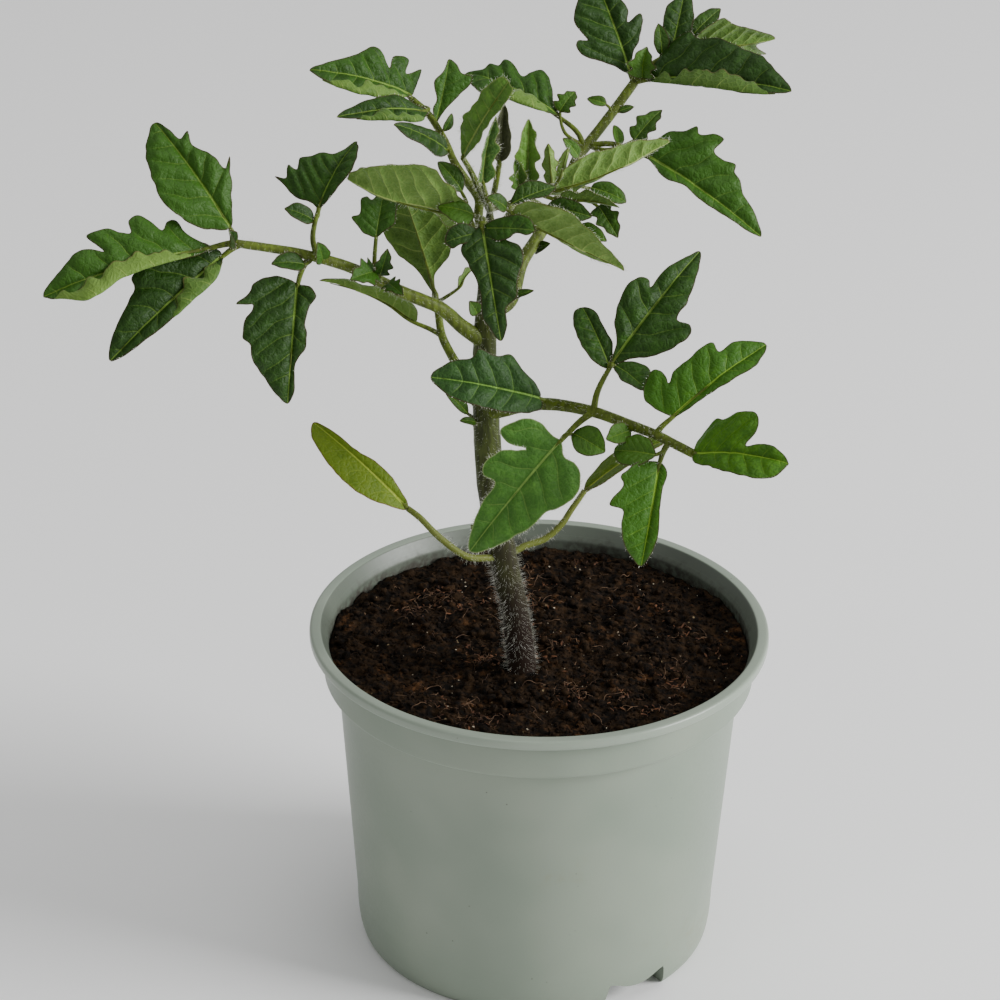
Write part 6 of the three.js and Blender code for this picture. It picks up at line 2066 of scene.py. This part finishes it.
@dataclass
class Stem:
    """The main stem with its hairs and the small shoots of its axils."""

    knots: tuple[tuple[Triple, float], ...] = (
        ((-4, -16.6, 70), 4.5), ((-4.2, -16.4, 78), 6.4), ((-4.4, -16, 85.5), 7.6), ((-6.4, -15.4, 103), 6.8),
        ((-9.6, -14.8, 118), 7.1), ((-13.2, -13.8, 140), 7.2), ((-14.6, -12.8, 161), 6.6),
        ((-15, -11.8, 180), 5.8), ((-14.4, -11, 197), 4.6), ((-14.2, -10.6, 209), 3.4),
        ((-14.2, -10.8, 213), 1.6),
    )
    shoots: tuple[tuple[Triple, Triple, Triple, Triple, float], ...] = (
        ((-14, -13.5, 156), (-19, -16, 160), (-25, -17, 167), (0, -0.7, 0.7), 3),
        ((-13, -12.6, 158), (-17, -17, 158), (-21, -20, 160), (0, -0.7, 0.7), 2.6),
        ((-9, -14.8, 117), (-15, -16.5, 124), (-18, -17, 129), (0, -0.8, 0.6), 2.8),
        ((-15, -11.8, 184), (-17, -14.5, 187), (-19, -15.5, 191), (0, -0.7, 0.7), 4),
        ((-14.8, -11.5, 188), (-9.5, -12, 190), (-3, -13, 193), (0, -0.7, 0.7), 2.4),
    )
    hairs: int = 2200
    low_hairs: int = 1100
    soil_knot: int = 2  # where the stem leaves the soil
    seed_leaf_knot: int = 4
    seed: int = 5
    shoot_seed: int = 900

    def build(self) -> bpy.types.Object:
        """Models the stem in place of its CAD node.

        Returns:
            The stem with its shoots.
        """
        weave = Weave()
        path = Path([at for at, _ in self.knots])
        stations = [path.reach[k * path.samples] / path.length for k in range(len(self.knots))]
        radii = [diameter / 2 for _, diameter in self.knots]
        tube = Tube(path, lambda s: np.interp(s, stations, radii), 240, 30, 0.05, self.seed)
        tube.weave(weave, STALK)
        dice = random.Random(self.seed)
        low, middle = stations[self.soil_knot] - 0.01, stations[self.seed_leaf_knot]
        tube.hairs(weave, HAIRS, self.hairs, (0.8, 2.1), dice, (low, 0.98), 0.04)
        tube.hairs(weave, HAIRS, self.low_hairs, (1.1, 2.5), dice, (low, middle), 0.05)
        holder = Leaf(LeafRow("stem", (1, 1), (), ()), self.seed)
        for number, (foot, base, tip, face, width) in enumerate(self.shoots):
            shoot = Leaflet(
                "shoot", 0, base, tip, face, 1.2, 0.6, (15, 15), Look.MID, margin=Margin.OVAL, width=width)
            holder.add_leaflet(weave, shoot, np.array(foot, float), self.shoot_seed + number)
        piece = WARDROBE.dress(weave, "stem_grown", STEM_SKIN.material())
        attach(piece, "root")
        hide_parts("stem")
        return piece


# ---------------------------------------------------------------- studio


@dataclass
class Studio:
    """Camera, soft lights and the pale floor."""

    target: Triple = (-0.0107, 0.0, 0.1273)
    distance: float = 1.2
    elevation: float = 27.6
    roll: float = 0.8
    lens: float = 167.76
    sensor: float = 36.0
    nearest: float = 0.01  # that the camera sees
    lit_point: Triple = (0, 0, 0.12)
    room_strength: float = 0.45
    lamps: tuple[tuple[str, Triple, float, float], ...] = (  # name, place, side and watts
        ("key_right", (1.5, -0.35, 0.75), 0.8, 43),
        ("top", (0.1, 0.1, 1.6), 1.0, 8),
        ("glint_left", (-0.95, -1.0, 0.95), 0.16, 1.1),
    )

    def camera(self) -> None:
        """Sets the photograph's view."""
        data = bpy.data.cameras.new("photo_camera")
        data.lens = self.lens
        data.sensor_width = self.sensor
        data.clip_start = self.nearest
        made = bpy.data.objects.new("photo_camera", data)
        bpy.context.scene.collection.objects.link(made)
        angle = math.radians(self.elevation)
        target = Vector(self.target)
        made.location = target + Vector((0, -math.cos(angle), math.sin(angle))) * self.distance
        made.rotation_mode = "QUATERNION"
        look = (target - made.location).to_track_quat("-Z", "Y")
        turn = type(look)((0, 0, 1), math.radians(self.roll))
        made.rotation_quaternion = look @ turn
        bpy.context.scene.camera = made

    def light(self, name: str, at: Triple, size: float, watts: float) -> None:
        """Adds one soft lamp that points at the plant.

        Args:
            name: The lamp's name.
            at: Where it stands, in metres.
            size: Its side, in metres.
            watts: Its power.
        """
        data = bpy.data.lights.new(name, "AREA")
        data.shape = "SQUARE"
        data.size = size
        data.energy = watts
        made = bpy.data.objects.new(name, data)
        bpy.context.scene.collection.objects.link(made)
        made.location = at
        made.rotation_mode = "QUATERNION"
        made.rotation_quaternion = (Vector(self.lit_point) - Vector(at)).to_track_quat("-Z", "Y")

    def floor(self) -> None:
        """Lays the pale floor."""
        start_fresh()
        bpy.ops.mesh.primitive_plane_add(size=8)
        floor = bpy.context.active_object
        floor.name = "floor"
        paint = Paint("pale_floor")
        share = paint.clouds(paint.place(), 3, 2)
        colour = paint.mix(share, (0.93, 0.93, 0.93, 1), (0.96, 0.96, 0.955, 1))
        floor.data.materials.append(paint.finish(Base_Color=colour, Roughness=0.8, Specular_IOR_Level=0.2))

    def build(self) -> None:
        """Sets up the whole studio."""
        self.camera()
        self.floor()
        world = bpy.data.worlds.new("soft_room")
        world.use_nodes = True
        back = world.node_tree.nodes["Background"]
        back.inputs["Color"].default_value = (1, 1, 1, 1)
        back.inputs["Strength"].default_value = self.room_strength
        bpy.context.scene.world = world
        for name, at, size, watts in self.lamps:
            self.light(name, at, size, watts)


def slot_of(name: str) -> str:
    """The material slot of a leaf, by the start of its name."""
    starts = {"seed_leaf": "seed_leaf", "leaf_pale": "pale_leaf"}
    return next((slot for start, slot in starts.items() if name.startswith(start)), "leaf")


def report(piece: bpy.types.Object) -> None:
    """Logs a finished piece."""
    LOG.info("%s: %d faces", piece.name, len(piece.data.polygons))


def main() -> None:
    """Builds the studio, the pot, the soil and the plant, in this order."""
    Studio().build()
    LOG.info("studio: camera, lights and floor")
    report(Pot().build())
    for piece in Soil().build():
        report(piece)
    report(Stem().build())
    for number, row in enumerate(LEAVES):
        report(Leaf(row, FIRST_LEAF_SEED + number).build(slot_of(row.name)))
    report(GrowingTip(TIP_LEAVES).build())


if __name__ == "__main__":
    logging.basicConfig(level=logging.INFO, format="%(message)s")
    main()
